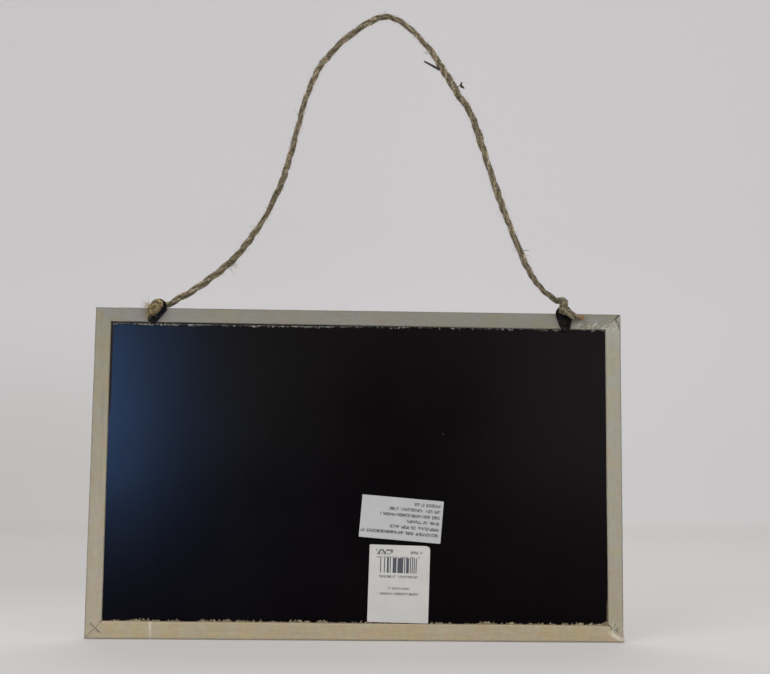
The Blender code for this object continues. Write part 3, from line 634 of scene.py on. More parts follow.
longwise = LEFT_TURN_LONG * LEFT_TURN_SHRINK * np.cos(LEFT_TURN_STOPS)
crosswise = LEFT_TURN_SHORT * LEFT_TURN_SHRINK * np.sin(LEFT_TURN_STOPS)
lean_cos, lean_sin = math.cos(LEFT_TURN_LEAN), math.sin(LEFT_TURN_LEAN)
around_middle = np.stack([
    LEFT_TURN_MIDDLE[0] + longwise * lean_cos - crosswise * lean_sin,
    LEFT_TURN_DEPTH - np.linspace(0, LEFT_TURN_FORWARD, len(longwise)),
    LEFT_TURN_MIDDLE[1] + longwise * lean_sin + crosswise * lean_cos,
], axis=-1)
left_eye = left_exit - swing_axis * LEFT_EXIT_RUN
left_path = np.vstack([
    left_exit + swing_axis * KNOT_OVERLAP,
    left_exit - swing_axis * PLATE_EDGE_RUN,
    left_eye + THROUGH_THE_EYE,
    around_middle,
    (LEFT_TURN_MIDDLE[0] + CUT_END_OFF[0], CUT_END_DEPTH, LEFT_TURN_MIDDLE[1] + CUT_END_OFF[1]),
])
knot_left = joined("jute_knot_left", [cord_along(left_path, LEFT_RADII, seed=21)])

RIGHT_STRAND = (
    (0.0929, -0.00755, 0.01120), (0.0943, -0.00760, 0.01135), (0.0955, -0.00890, 0.01130),
    (0.0959, -0.01080, 0.01075), (0.0958, -0.01210, 0.00945), (0.0956, -0.01230, 0.00780),
    (0.0954, -0.01190, 0.00600), (0.0952, -0.01130, 0.00500),
)
RIGHT_TAIL = (
    (0.0938, -0.0110, 0.0064), (0.0949, -0.0124, 0.0061), (0.0966, -0.0131, 0.0052),
    (0.0984, -0.0129, 0.0042), (0.1004, -0.0122, 0.0035), (0.1026, -0.0116, 0.0031),
    (0.1046, -0.0113, 0.0029),
)
RIGHT_LOOP = (
    (0.0955, -0.0123, 0.0060), (0.0955, -0.0110, 0.0059), (0.0955, -0.0090, 0.0060),
    (0.0955, -0.0076, 0.0072), (0.0955, -0.0076, 0.0100),
)
knot_right = joined("jute_knot_right", [
    cord_along(RIGHT_STRAND, (0.00150, 0.00160, 0.00165, 0.00165, 0.0014), seed=31, steer=(1, 0.1, 0.2)),
    cord_along(RIGHT_TAIL, (0.0013, 0.0018, 0.0019, 0.0017, 0.0016, 0.0012), seed=32, cut_from=0.80),
    cord_along(RIGHT_LOOP, (0.0016, 0.0015, 0.0014), seed=33, steer=(1, 0, 0)),
])
piece_left = make_piece(knot_left, LEFT_KNOT_JUTE, "jute", "board", "twine_knot_left")
piece_right = make_piece(knot_right, RIGHT_KNOT_JUTE, "jute", "board", "twine_knot_right")

# %% [markdown]
# ## Loose fibres and bark
#
# What makes twine look like jute and not like plastic cord is its halo: fine fibres that have come
# loose and stand off it, and now and then a dark stick of bark. Hair particles would do for a picture,
# but they aren't meshes. Each fibre here is a thin tapered tube with three sides, bent by a term that
# grows with the square of the distance, and all of them are one array.

# %% Loose fibres
FIBRE_STEPS = 5
FIBRE_SIDES = 3
FIBRE_STEER = (0.36, 0.48, 0.80)
FIBRE_WIDTHS = (0.00006, 0.00013)
SHORTEST_SHARE, SHORTNESS = 0.18, 2.5
SLANT_DEGREES = (12, 65)
CURL, CURL_BACK = 0.22, 0.25
ROOT_SHARE = 0.75
END_CALM = 0.028
FRAY_SPREAD, FRAY_CURL = 0.42, 0.30
FRAY_SHORTEST_SHARE = 0.35
FRAY_ROOTS = 0.0005


def loose_fibres(name, roots, ways, lengths, widths, bends, thinning=0.8):
    """Tapered tubes. A fibre's middle is root + way*q + bend*q*q/length, with q from 0 to its
    length, and its radius falls by the given share."""
    count = len(roots)
    share = np.linspace(0, 1, FIBRE_STEPS + 1)[None, :, None]
    q = share * lengths[:, None, None]
    middle = roots[:, None] + ways[:, None] * q + bends[:, None] * q * share
    side = np.cross(ways, FIBRE_STEER)
    side /= np.linalg.norm(side, axis=1, keepdims=True)
    other = np.cross(ways, side)
    turn = np.linspace(0, 2 * math.pi, FIBRE_SIDES, endpoint=False)
    ring = side[:, None, None] * np.cos(turn)[:, None] + other[:, None, None] * np.sin(turn)[:, None]
    radii = widths[:, None, None, None] / 2 * (1 - thinning * share[..., None])
    points = middle[:, :, None] + ring * radii
    per_fibre = (FIBRE_STEPS + 1) * FIBRE_SIDES
    starts = np.arange(count)[:, None, None] * per_fibre
    quads = (starts + grid_faces(FIBRE_STEPS + 1, FIBRE_SIDES)[None]).reshape(-1, 4).tolist()
    root_caps = (starts[:, 0] + np.arange(FIBRE_SIDES)[::-1]).tolist()
    tip_caps = (starts[:, 0] + per_fibre - FIBRE_SIDES + np.arange(FIBRE_SIDES)).tolist()
    nothing = np.zeros(count * per_fibre)
    tones = np.repeat(np.linspace(0.3, 1, count), per_fibre)
    looks = {"fibre": nothing + 0.8, "groove": nothing, "cut": nothing, "ply_tone": tones}
    return make_mesh(name, points.reshape(-1, 3), quads + root_caps + tip_caps, looks)


def fuzz_along(name, line, radius, count, longest, seed, frays, calm_ends):
    """Fibres that leave a cord at a slant: partly along it, partly out, most of them short. Near calm
    ends they shorten to nothing, so that few brush the frame when the twine swings. A fray is a place
    where many come loose together: its place, main direction, count and length."""
    draw = np.random.default_rng(seed)
    at = draw.integers(2, len(line) - 2, count)
    from_end = lengths_along(line)[np.minimum(at, len(line) - 1 - at)]
    calmed = rise(0, END_CALM, from_end) if calm_ends else 1.0
    spread = (1 - SHORTEST_SHARE) * draw.random(count) ** SHORTNESS
    lengths = longest * (SHORTEST_SHARE + spread) * calmed
    ahead = line[at + 1] - line[at - 1]
    ahead /= np.linalg.norm(ahead, axis=1, keepdims=True)
    out = np.cross(ahead, draw.normal(size=(count, 3)))
    out /= np.linalg.norm(out, axis=1, keepdims=True)
    slant = np.radians(draw.uniform(*SLANT_DEGREES, count))[:, None]
    forward = np.where(draw.random((count, 1)) < 0.5, -1, 1)
    ways = ahead * forward * np.cos(slant) + out * np.sin(slant)
    bends = draw.normal(0, CURL, (count, 3)) * lengths[:, None] - out * CURL_BACK * lengths[:, None]
    roots = line[at] + out * radius * ROOT_SHARE
    for place, way, fray_count, fray_length in frays:
        fray_ways = np.array(way) + draw.normal(0, FRAY_SPREAD, (fray_count, 3))
        fray_spread = (1 - FRAY_SHORTEST_SHARE) * draw.random(fray_count)
        fray_lengths = fray_length * (FRAY_SHORTEST_SHARE + fray_spread)
        ways = np.vstack([ways, fray_ways / np.linalg.norm(fray_ways, axis=1, keepdims=True)])
        roots = np.vstack([roots, np.array(place) + draw.normal(0, FRAY_ROOTS, (fray_count, 3))])
        lengths = np.append(lengths, fray_lengths)
        bends = np.vstack([bends, draw.normal(0, FRAY_CURL, (fray_count, 3)) * fray_lengths[:, None]])
    widths = draw.uniform(*FIBRE_WIDTHS, len(lengths))
    return loose_fibres(name, roots, ways, lengths, widths, bends)


TWINE_FRAYS = (
    ((-0.0618, -0.0080, 0.0250), (0.75, -0.2, -0.30), 13, 0.0056),
    ((-0.0590, -0.0080, 0.0270), (0.35, -0.2, -0.75), 13, 0.0056),
    ((0.0195, -0.0080, 0.1436), (0.3, -0.1, -1.0), 14, 0.0017),
)
LEFT_FRAYS = (
    ((-0.0972, -0.0126, 0.0052), (-0.85, -0.10, 0.45), 60, 0.0052),
    ((-0.0975, -0.0120, 0.0030), (-0.25, 0.05, -0.95), 34, 0.0048),
)
RIGHT_FRAYS = (((0.1040, -0.0115, 0.0032), (0.8, -0.1, -0.3), 18, 0.0020),)

left_line, tail_line = spaced(left_path, KNOT_STEP), spaced(np.array(RIGHT_TAIL), KNOT_STEP)
# Line, radius, count and greatest length of the fibres, seed, frays, calm ends, finish and body
FUZZ = {
    "jute_fuzz": (twine_line, TWINE_RADIUS, 2600, 0.0040, 41, TWINE_FRAYS, True, JUTE, "twine_loop"),
    "jute_fuzz_left": (left_line, 0.0016, 110, 0.0024, 42, LEFT_FRAYS, False, LEFT_KNOT_JUTE, "board"),
    "jute_fuzz_right": (tail_line, 0.0015, 70, 0.0020, 43, RIGHT_FRAYS, False, RIGHT_KNOT_JUTE, "board"),
}
twine_fuzz, left_fuzz, right_fuzz = (
    make_piece(fuzz_along(name, *values), finish, "jute", body)
    for name, (*values, finish, body) in FUZZ.items()
)

# %% Dark sticks of bark caught in the twine
BARK_STICKS = (
    ((0.0368, 0.1220), (0.0292, 0.1258), 0.00170),
    ((0.0450, 0.1135), (0.0470, 0.1145), 0.00050),
    ((0.0469, 0.1142), (0.0475, 0.1160), 0.00140),
    ((0.0467, 0.1148), (0.0486, 0.1129), 0.00140),
    ((0.0474, 0.1142), (0.0482, 0.1134), 0.00200),
    ((0.0768, 0.0349), (0.0798, 0.0350), 0.00034),
    ((0.0296, 0.1306), (0.0309, 0.1293), 0.00032),
)
STICK_ROOT, STICK_TIP = 0.0006, 0.0012
STICK_BEND, STICK_THINNING = 0.10, 0.45
BARK_DARK, BARK_PEELING = (0.018, 0.015, 0.012), (0.05, 0.04, 0.03)

bark, tree, shader = new_finish("bark", 0.7, Specular_IOR_Level=0.3)
peeling = placed(tree, STREAKS, Vector=object_place(tree), Length=0.0006, Width=0.0002)
feed(tree, shader["Base Color"], mix(tree, peeling, BARK_DARK, BARK_PEELING))
starts = np.array([(root[0], left_exit[1] - STICK_ROOT, root[1]) for root, tip, wide in BARK_STICKS])
ends = np.array([(tip[0], left_exit[1] - STICK_TIP, tip[1]) for root, tip, wide in BARK_STICKS])
reaches = np.linalg.norm(ends - starts, axis=1)
stick_mesh = loose_fibres(
    "bark_sticks", starts, (ends - starts) / reaches[:, None], reaches,
    np.array([wide for root, tip, wide in BARK_STICKS]),
    np.array((0, 0, STICK_BEND)) * reaches[:, None], STICK_THINNING,
)
sticks = make_piece(stick_mesh, bark, "jute", "twine_loop")

# %% [markdown]
# ## The rails
#
# The frame is four strips of cheap softwood under a thin grey-beige wash. The wash is uneven along the
# grain and thick in the corners, where it was smeared over the mitres, and painted shade darkens the outer
# front edges. A staple shows through at the bottom left, and the top right corner has split.
#
# The CAD rails have the right outline, but their faces are dead flat. So each rail is carried again as
# a section along its length, with a point every third of a millimetre, and every point is moved in or out
# a little by grain, by dents on the edges, and by the splits and smears listed below.

# %% Sizes of the frame, read from the solids
INTO_WALL = np.array((0, 1, 0))
LIP_REACH = 0.0030
RAIL_ROUND = 0.00055
PANEL_BED_GAP = 0.0003

left_low, left_high = map(np.array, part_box("rail_left"))
right_low, right_high = map(np.array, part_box("rail_right"))
top_low, top_high = map(np.array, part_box("rail_top"))
bottom_low, bottom_high = map(np.array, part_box("rail_bottom"))
panel_low, panel_high = map(np.array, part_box("chalk_panel"))
front_y = top_low[1]
faces_wide = {
    "top": top_high[2] - top_low[2] - LIP_REACH,
    "right": right_high[0] - right_low[0] - LIP_REACH,
    "bottom": bottom_high[2] - bottom_low[2] - LIP_REACH,
    "left": left_high[0] - left_low[0] - LIP_REACH,
}
board_wide = right_high[0] - left_low[0]
board_high = top_high[2] - bottom_low[2]
print("rail faces in mm:", {side: round(1000 * wide, 2) for side, wide in faces_wide.items()})

# Hand-sawn strips aren't quite parallel: how much wider each face is at its start and at its end.
# The rails run clockwise, as seen from the front, from the top left corner.
UNEVEN_SAWING = {
    "top": (-0.0004, 0.0004), "right": (-0.0001, -0.0003),
    "bottom": (-0.0005, -0.0001), "left": (0.0, -0.0005),
}


def face_at(side, share):
    """Width of a rail's face at a share of its length: its solid's width, and its uneven sawing
    along a straight line from start to end."""
    start, end = UNEVEN_SAWING[side]
    return faces_wide[side] + start + (end - start) * share


# %% Marks on the frame: start and end on the board, half width, depth and how strong the colour is
SPLITS = (
    ((-0.1199, -0.1388), (-0.1150, -0.1436), 0.00030, 0.00006, 0.33),
    ((-0.1219, -0.1454), (-0.1158, -0.1394), 0.00018, 0.00008, 0.40),
    ((-0.1157, -0.1383), (-0.1150, -0.1386), 0.00030, 0.00008, 0.45),
    ((0.1217, 0.0046), (0.1201, 0.0024), 0.00034, 0.00030, 0.85),
    ((0.1200, 0.0026), (0.1208, 0.0008), 0.00042, 0.00022, 0.60),
    ((0.1204, 0.0020), (0.1215, 0.0004), 0.00030, 0.00025, 0.80),
    ((0.1213, 0.0008), (0.1219, -0.0020), 0.00032, 0.00030, 0.80),
    ((-0.1178, -0.03365), (-0.1174, -0.0839), 0.00010, 0.00004, 0.30),
    ((0.1125, -0.1384), (0.1150, -0.1390), 0.00014, 0.00006, 0.30),
    ((0.1156, -0.1384), (0.1168, -0.1396), 0.00034, 0.00014, 0.42),
    ((0.1186, -0.1379), (0.1194, -0.1412), 0.00040, 0.00014, 0.42),
    ((0.1170, -0.1404), (0.1190, -0.1394), 0.00040, 0.00012, 0.42),
    ((0.1175, -0.1392), (0.1204, -0.1406), 0.00034, 0.00010, 0.38),
)
SMEARS = (
    ((0.1178, -0.1430), (0.1206, -0.1444), 0.0009, 0.00028, 0.90),
    ((0.1161, -0.1417), (0.1167, -0.1426), 0.0006, 0.00010, 0.60),
    ((-0.0929, -0.1383), (-0.0930, -0.1412), 0.00044, 0.00003, 0.85),
    ((-0.0927, -0.1408), (-0.0928, -0.1462), 0.00034, 0.00003, 0.60),
)
SPECKLED = (((0.1095, -0.0012), (0.0105, 0.0024)), ((0.1178, -0.1403), (0.0034, 0.0030)))
CORNER_LUMP = (0.1223, -0.1447)
CORNER_LUMP_REACH = 0.0010
CORNER_LUMP_HEIGHT = 0.0006


def mark_depths(marks, x, z, rough):
    """How much of each point a set of marks colours, and how deep they are: a smooth step down over
    the mark's half width, with an edge that the given noise makes ragged."""
    cover, depth = np.zeros_like(x), np.zeros_like(x)
    for start, end, half_wide, deep, strong in marks:
        near = rise(1.5, 0.6, from_segment(x, z, start, end) / half_wide + 0.5 * rough)
        cover = np.maximum(cover, near * strong)
        depth = np.maximum(depth, near * deep)
    return cover, depth


# %% One rail
SECTION_STEP_FRONT = 0.00030
SECTION_STEP_BACK = 0.0011
RAIL_STEP = 0.00036
FRONT_BAND = 0.0022
MITRE_GAP_SHOWN = 0.00004
ARRIS_REACH = 0.00055
INNER_ROUND = 0.00008
ARC_POINTS = 7
WAVE_HEIGHT, FURROW_DEPTH, GRAIN_HEIGHT, DENT_DEPTH = 0.00008, 0.00004, 0.000015, 0.00016
DENT_BOUNDS, FURROW_BOUNDS, GRIT_BOUNDS = (0.25, 0.85), (0.45, 0.95), (0.10, 0.55)
# Cells along, through and across a rail: waves, grain, fine grain, dents, roughness and grit
RAIL_CELLS = (
    (0.040, 0.006, 0.006), (0.014, 0.0007, 0.0007), (0.004, 0.0004, 0.0004),
    (0.0035, 0.0012, 0.0012), (0.0006, 0.0005, 0.0005), (0.0009, 0.0006, 0.0006),
)


def rounded_section(face):
    """Outline across a rail as (depth, distance in from its outer edge). Each corner of the outline
    is an arc: its middle lies where both sides are one radius away."""
    bed = panel_high[1] + PANEL_BED_GAP
    corners = np.array([
        (0, 0), (front_y, 0), (front_y, face), (bed, face), (bed, face + LIP_REACH), (0, face + LIP_REACH),
    ])
    radii = (RAIL_ROUND, RAIL_ROUND, RAIL_ROUND, INNER_ROUND, INNER_ROUND, RAIL_ROUND)
    outline = []
    for i, radius in enumerate(radii):
        back = corners[i - 1] - corners[i]
        ahead = corners[(i + 1) % len(corners)] - corners[i]
        back, ahead = back / np.linalg.norm(back), ahead / np.linalg.norm(ahead)
        middle = corners[i] + (back + ahead) * radius
        angle = np.linspace(0, math.pi / 2, ARC_POINTS)[:, None]
        outline.append(middle - ahead * radius * np.cos(angle) - back * radius * np.sin(angle))
    outline = np.vstack([*outline, outline[0][:1]])
    steps = np.linalg.norm(np.diff(outline, axis=0), axis=1)
    in_front = outline[:-1, 0] < front_y + FRONT_BAND
    wanted = np.where(in_front, SECTION_STEP_FRONT, SECTION_STEP_BACK)
    weights = np.concatenate([[0], np.cumsum(steps / wanted)])
    at = np.linspace(0, weights[-1], round(weights[-1]), endpoint=False)
    return np.stack([np.interp(at, weights, outline[:, k]) for k in range(2)], axis=1)


def worn_rail(name, corner_at, along, inward, length, sides, seed):
    """A rail as a grid: the section carried from mitre to mitre.

    A point at a share s of the way in from the outer edge starts s times the face of the rail before it
    from the corner, and ends in the same way, so that both ends are mitred. It is then moved along its
    own normal by the sum of a slow wave, grain, dents and marks.
    """
    before, side, after = sides
    own = faces_wide[side]
    section = rounded_section(own)
    depth, inset = section[:, 0], section[:, 1]
    share = np.linspace(0, 1, round(length / RAIL_STEP))[:, None]
    first = inset / own * face_at(before, 1) + MITRE_GAP_SHOWN
    last = length - inset / own * face_at(after, 0) - MITRE_GAP_SHOWN
    run = first + (last - first) * share
    y = np.broadcast_to(depth, run.shape)
    h = inset + (face_at(side, share) - own) * np.clip(inset / own, 0, 1)
    slope = np.roll(section, -1, axis=0) - np.roll(section, 1, axis=0)
    slope /= np.linalg.norm(slope, axis=1, keepdims=True)
    normal_y, normal_h = slope[:, 1], -slope[:, 0]
    if np.sum(normal_y * (depth - depth.mean())) < 0:
        normal_y, normal_h = -normal_y, -normal_h

    place = np.stack([run + seed, y, h], axis=-1)
    wave, grain, fine, dents, rough, grit = (
        smooth_noise(place, cell, seed + k) for k, cell in enumerate(RAIL_CELLS)
    )
    # Nearness to the outer and inner front arrises: the outer one is later darkened with painted shade
    outer, inner = (
        np.exp(-((y - front_y) ** 2 + (h - edge) ** 2) / ARRIS_REACH ** 2)
        for edge in (0, face_at(side, share))
    )
    dent = np.maximum(outer, inner) * rise(*DENT_BOUNDS, dents + 0.35 * rough)
    furrow = rise(*FURROW_BOUNDS, grain)

    points = corner_at + run[..., None] * along + h[..., None] * inward + y[..., None] * INTO_WALL
    shown = (y < front_y + FRONT_BAND).astype(float)
    split, split_depth = mark_depths(SPLITS, points[..., 0], points[..., 2], rough)
    smear, smear_height = mark_depths(SMEARS, points[..., 0], points[..., 2], rough)
    lump = shown * np.exp(-np.sum((points[..., ::2] - CORNER_LUMP) ** 2, axis=-1) / CORNER_LUMP_REACH ** 2)
    speckle = rise(*GRIT_BOUNDS, grit) * sum(
        np.exp(-np.sum(((points[..., ::2] - middle) / reach) ** 2, axis=-1)) for middle, reach in SPECKLED
    )
    move = (
        WAVE_HEIGHT * wave - FURROW_DEPTH * furrow + GRAIN_HEIGHT * fine - DENT_DEPTH * dent
        + shown * (smear_height * (0.7 + 0.5 * rough) - split_depth) + CORNER_LUMP_HEIGHT * lump
    )
    outward = normal_y[:, None] * INTO_WALL + normal_h[:, None] * inward
    points = points + move[..., None] * outward
    # An uneven factor for both arrises: it spreads the painted shade on the outer one and the pale on the
    # inner one
    worn = 0.9 + 0.25 * dents
    looks = {
        "along": np.broadcast_to(share, run.shape),
        "outer": np.clip(outer * worn, 0, 1),
        "inner": np.clip(inner * worn, 0, 1),
        "dark": np.clip(shown * split + 0.07 * furrow, 0, 1),
        "smeared": np.clip(shown * (smear * (0.75 + 0.35 * rough) + 0.55 * speckle) + 0.7 * lump, 0, 1),
    }
    return closed_grid(name, points, looks, sharp=math.radians(50))


# %% [markdown]
# ## The wash
#
# The finish is watered paint over wood. In some places the wood comes through warm, in others the wash
# lies grey. Plain mottling would look like stone, because wood takes the wash along its grain, so both the
# broad and the fine pattern are streaks. The grain runs along each rail, so the two upright ones turn the
# pattern by a right angle. The top rail is darker and greyer than the bottom one, which is warmer, and
# the left rail darkens towards the top.

# %% The wash and the four rails
ARRIS_SHADE_BROWN = (0.135, 0.125, 0.098)
SPLIT_DARK = (0.050, 0.040, 0.028)
SMEAR_PALE = (0.600, 0.565, 0.490)
MOTTLE_BROWN = (0.130, 0.104, 0.0672)
STREAK_TINT, YELLOW_TINT, RED_TINT = (0.96, 0.94, 0.92), (1.04, 1.01, 0.89), (1.05, 0.97, 0.99)
LEVEL, UPRIGHT = (0, 0, 0), (0, math.radians(90), 0)


def wash_finish(name, at_start, at_end, inner_share, turn):
    """The wash's colour changes slowly from one end to the other. Over it go faint streaks and warm
    patches, and then painted shade on the outer edges, splits and pale smears from the mesh."""
    material, tree, shader = new_finish(name, 0.8, Specular_IOR_Level=0.25)
    place = object_place(tree, turn=turn)
    broad = placed(tree, STREAKS, Vector=place, Length=0.026, Width=0.0020)
    narrow = placed(tree, STREAKS, Vector=place, Length=0.006, Width=0.00040)
    patches = blotches(tree, place, 0.007)
    blush = blotches(tree, object_place(tree, shift=AWAY), 0.005)
    mottle = blotches(tree, place, 0.0022)
    wash = mix(tree, attribute(tree, "along"), at_start, at_end)
    colour = mix(tree, broad, tint(tree, wash, STREAK_TINT), wash)
    colour = mix(tree, ramp(tree, patches, 0.3, 1.0), colour, tint(tree, colour, YELLOW_TINT))
    colour = mix(tree, ramp(tree, blush, 0.4, 1.0), colour, tint(tree, colour, RED_TINT))
    colour = layered(
        tree, colour,
        (ramp(tree, mottle, 0.2, 0.9, 0.0, 0.08), MOTTLE_BROWN),
        (ramp(tree, narrow, 0.50, 0.0, 0.0, 0.08), SPLIT_DARK),
        # painted shade along the outer front arris
        (scaled(tree, attribute(tree, "outer"), 0.75), ARRIS_SHADE_BROWN),
        (scaled(tree, attribute(tree, "inner"), inner_share), SMEAR_PALE),
        (attribute(tree, "dark"), SPLIT_DARK),
        (attribute(tree, "smeared"), SMEAR_PALE),
    )
    feed(tree, shader["Base Color"], colour)
    feed(tree, shader["Roughness"], ramp(tree, patches, 0.0, 1.0, 0.72, 0.90))
    add_bump(tree, shader, narrow, 0.00004)
    return material


RIGHT_WAY, UP_WAY = np.array((1.0, 0.0, 0.0)), np.array((0.0, 0.0, 1.0))
top_left = np.array((left_low[0], 0, top_high[2]))
top_right = top_left + RIGHT_WAY * board_wide
bottom_right = top_right - UP_WAY * board_high
bottom_left = top_left - UP_WAY * board_high
RAILS = (
    ("top", top_left, RIGHT_WAY, -UP_WAY, board_wide, ("left", "top", "right"),
     (0.212, 0.208, 0.184), (0.188, 0.189, 0.162), 0.10, LEVEL),
    ("right", top_right, -UP_WAY, -RIGHT_WAY, board_high, ("top", "right", "bottom"),
     (0.290, 0.293, 0.254), (0.314, 0.290, 0.220), 0.0, UPRIGHT),
    ("bottom", bottom_right, -RIGHT_WAY, UP_WAY, board_wide, ("right", "bottom", "left"),
     (0.366, 0.314, 0.216), (0.380, 0.333, 0.230), 0.0, LEVEL),
    ("left", bottom_left, UP_WAY, RIGHT_WAY, board_high, ("bottom", "left", "top"),
     (0.358, 0.330, 0.262), (0.234, 0.224, 0.168), 0.0, UPRIGHT),
)
for number, (side, corner, along, inward, length, sides, *wash) in enumerate(RAILS):
    rail_mesh = worn_rail(f"washed_rail_{side}", corner, along, inward, length, sides, 50 + 7 * number)
    finish = wash_finish(f"wash_{side}", *wash)
    make_piece(rail_mesh, finish, "washed_wood", "board", f"rail_{side}")

# %% [markdown]
# ## The writing panel
#
# The panel is thin fibreboard, painted black and then sawn, and the saw tore the paint along its top
# and bottom edges. That ragged pale line under the top rail is what gives a cheap board away. A material
# alone could draw the line, but torn paint also has a step, so the chips are worked out once, as a height
# above the edge for each place along it, and used both to sink the surface and to colour it. The back
# isn't painted: there the board is its own brown.

# %% Chips along the two sawn edges
CHIP_DEPTH = 0.00022
PANEL_STEP = 0.00019
EDGE_ROWS = 16
EDGE_BAND = 0.0021
MIDDLE_ROWS = 14
TOP_GAP_LEFT, TOP_GAP_RIGHT = 0.00060, 0.00012
FOOT_GAP = 0.00010
SIDE_GAP = 0.00010
GAP_CLOSES_FROM, GAP_CLOSES_TO = -0.012, 0.004
BROAD_TOOTH, CHIP_SPACING = 0.0024, 0.0032
RAGGED_CELL = (0.00045, 0.001, 0.0004)
FRONT_FILM = 0.0001
# Seed, least and greatest reach, cover, and width of a tooth: top edge left and right, and foot
CHIPS = (
    (71, 0.00018, 0.00092, 0.80, 0.0006), (81, 0.00012, 0.00095, 0.60, 0.0006),
    (91, 0.00012, 0.00105, 0.50, 0.0005),
)


def chip_reach(x, seed, least, most, cover, tooth_width):
    """How far chips reach in from the edge at x: a tooth of noise, cut off where another, slower
    noise is below the cover."""
    line = np.stack([x, np.full_like(x, seed), np.zeros_like(x)], axis=-1)
    fine, broad, slow = (
        smooth_noise(line, (width, 1, 1), seed + k)
        for k, width in enumerate((tooth_width, BROAD_TOOTH, CHIP_SPACING))
    )
    tooth = 0.6 * fine + 0.4 * broad
    there = rise(-0.15, 0.20, slow + cover)
    return there * (least + (most - least) * rise(-0.55, 0.7, tooth))


panel_x = np.arange(panel_low[0], panel_high[0], PANEL_STEP)
along_share = np.linspace(0, 1, len(panel_x))
gap_closed = rise(GAP_CLOSES_FROM, GAP_CLOSES_TO, panel_x)
top_gap = TOP_GAP_LEFT + (TOP_GAP_RIGHT - TOP_GAP_LEFT) * gap_closed
top_z = top_high[2] - face_at("top", (panel_x - left_low[0]) / board_wide) - top_gap
foot_z = bottom_low[2] + face_at("bottom", (right_high[0] - panel_x) / board_wide) + FOOT_GAP

near = np.linspace(0, EDGE_BAND, EDGE_ROWS)
between = np.linspace(0, 1, MIDDLE_ROWS)[1:-1]
inner_top, inner_foot = top_z - EDGE_BAND, foot_z + EDGE_BAND
middle_z = inner_top[:, None] + (inner_foot - inner_top)[:, None] * between
front_z = np.concatenate([top_z[:, None] - near, middle_z, foot_z[:, None] + near[::-1]], axis=1)
front_depth = np.full_like(front_z, panel_low[1])
back_z = np.stack([foot_z, (foot_z + top_z) / 2, top_z], axis=1)
back_depth = np.full_like(back_z, panel_high[1])
z = np.concatenate([front_z, back_z], axis=1)
y = np.concatenate([front_depth, back_depth], axis=1)
left_side = left_low[0] + face_at("left", (z - bottom_low[2]) / board_high) + SIDE_GAP
right_side = right_high[0] - face_at("right", (top_high[2] - z) / board_high) - SIDE_GAP
x = left_side + (right_side - left_side) * along_share[:, None]

left_chips, right_chips, foot_chips = (chip_reach(panel_x, *values) for values in CHIPS)
top_chips = left_chips * (1 - gap_closed) + right_chips * gap_closed
ragged = smooth_noise(np.stack([x, y, z], axis=-1), RAGGED_CELL, 95)
in_front = (y < panel_low[1] + FRONT_FILM).astype(float)


def chip_mask(from_edge, reach, ragged_share):
    """1 inside a chip and 0 past it: the distance from the edge as a share of the chip's reach, made
    ragged by noise, with a smooth step down a little past and short of the reach."""
    share = from_edge / np.maximum(reach[:, None], 1e-6)
    return in_front * rise(1.15, 0.80, share + ragged_share * ragged)


chipped_top = chip_mask(top_z[:, None] - z, top_chips, 0.45)
chipped_foot = chip_mask(z - foot_z[:, None], foot_chips, 0.55)

# %% [markdown]
# In the bottom right corner the wash has run over the panel and left the black with a rounded corner.
# It is painted with the same kind of mask: outside a circle that touches both edges, the wash covers.
# Along the upper left edge a dull brownish strip without gloss is painted shade: a fine dark line for the
# shadow gap beside the rail.

# %% The panel's mesh
CORNER_ROUND, FOOT_COVERED = 0.0033, 0.0006
CORNER_BOUNDS = (0.92, 1.05)
# Width, edge and height range of the painted shade strip along the panel's upper left edge
DULL_STRIP, DULL_EDGE, DULL_FROM_Z, DULL_TO_Z = 0.0010, 0.00065, -0.060, -0.020
SAG_DEPTH, SAG_CELL = 0.00003, (0.03, 1, 0.03)

corner_x, corner_z = x[-1].max() + FOOT_GAP - CORNER_ROUND, foot_z[-1] + CORNER_ROUND + FOOT_COVERED
past_corner = (x > corner_x) & (z < corner_z)
from_corner = np.hypot(x - corner_x, z - corner_z) / CORNER_ROUND
outside = past_corner * rise(*CORNER_BOUNDS, from_corner + 0.12 * ragged)
chipped_foot = np.maximum(chipped_foot, in_front * outside)
chipped = np.maximum(chipped_top, chipped_foot)
# painted shade: a strip along the upper left edge, for the shadow gap beside the rail
dull_shade_left = in_front * rise(DULL_STRIP, DULL_EDGE, x - left_side) * rise(DULL_FROM_Z, DULL_TO_Z, z)
sag = SAG_DEPTH * smooth_noise(np.stack([x, y, z], axis=-1), SAG_CELL, 96)
back_share = (y - panel_low[1]) / (panel_high[1] - panel_low[1]) - 0.5
y = y + in_front * (CHIP_DEPTH * chipped * (0.6 + 0.6 * ragged) + sag)
panel_grid = np.stack([x, y, z], axis=-1)
panel_looks = {
    "chipped_top": chipped_top, "chipped_foot": chipped_foot,
    "bare": rise(-0.5, 0.5, back_share), "dull_shade_left": dull_shade_left,
}
panel_mesh = closed_grid("painted_panel", panel_grid, panel_looks)
print(f"chips cover {100 * chipped[:, :EDGE_ROWS].mean():.0f}% of the top edge's band")

# %% Black board paint
PAINT_BLACK = (0.0014, 0.0005, 0.0012)
PAINT_CLOUD = (0.0019, 0.0010, 0.0014)
FIBREBOARD_GREY = (0.290, 0.280, 0.260)
FIBREBOARD_WARM = (0.335, 0.280, 0.190)
TORN_DARK, TORN_BROWN = (0.035, 0.033, 0.031), (0.13, 0.105, 0.07)
SPECK_PALE = (0.30, 0.31, 0.33)
SHADE_LINE_BROWN = (0.024, 0.017, 0.017)
BARE_BACK, BARE_FLECK = (0.215, 0.140, 0.080), (0.165, 0.105, 0.060)

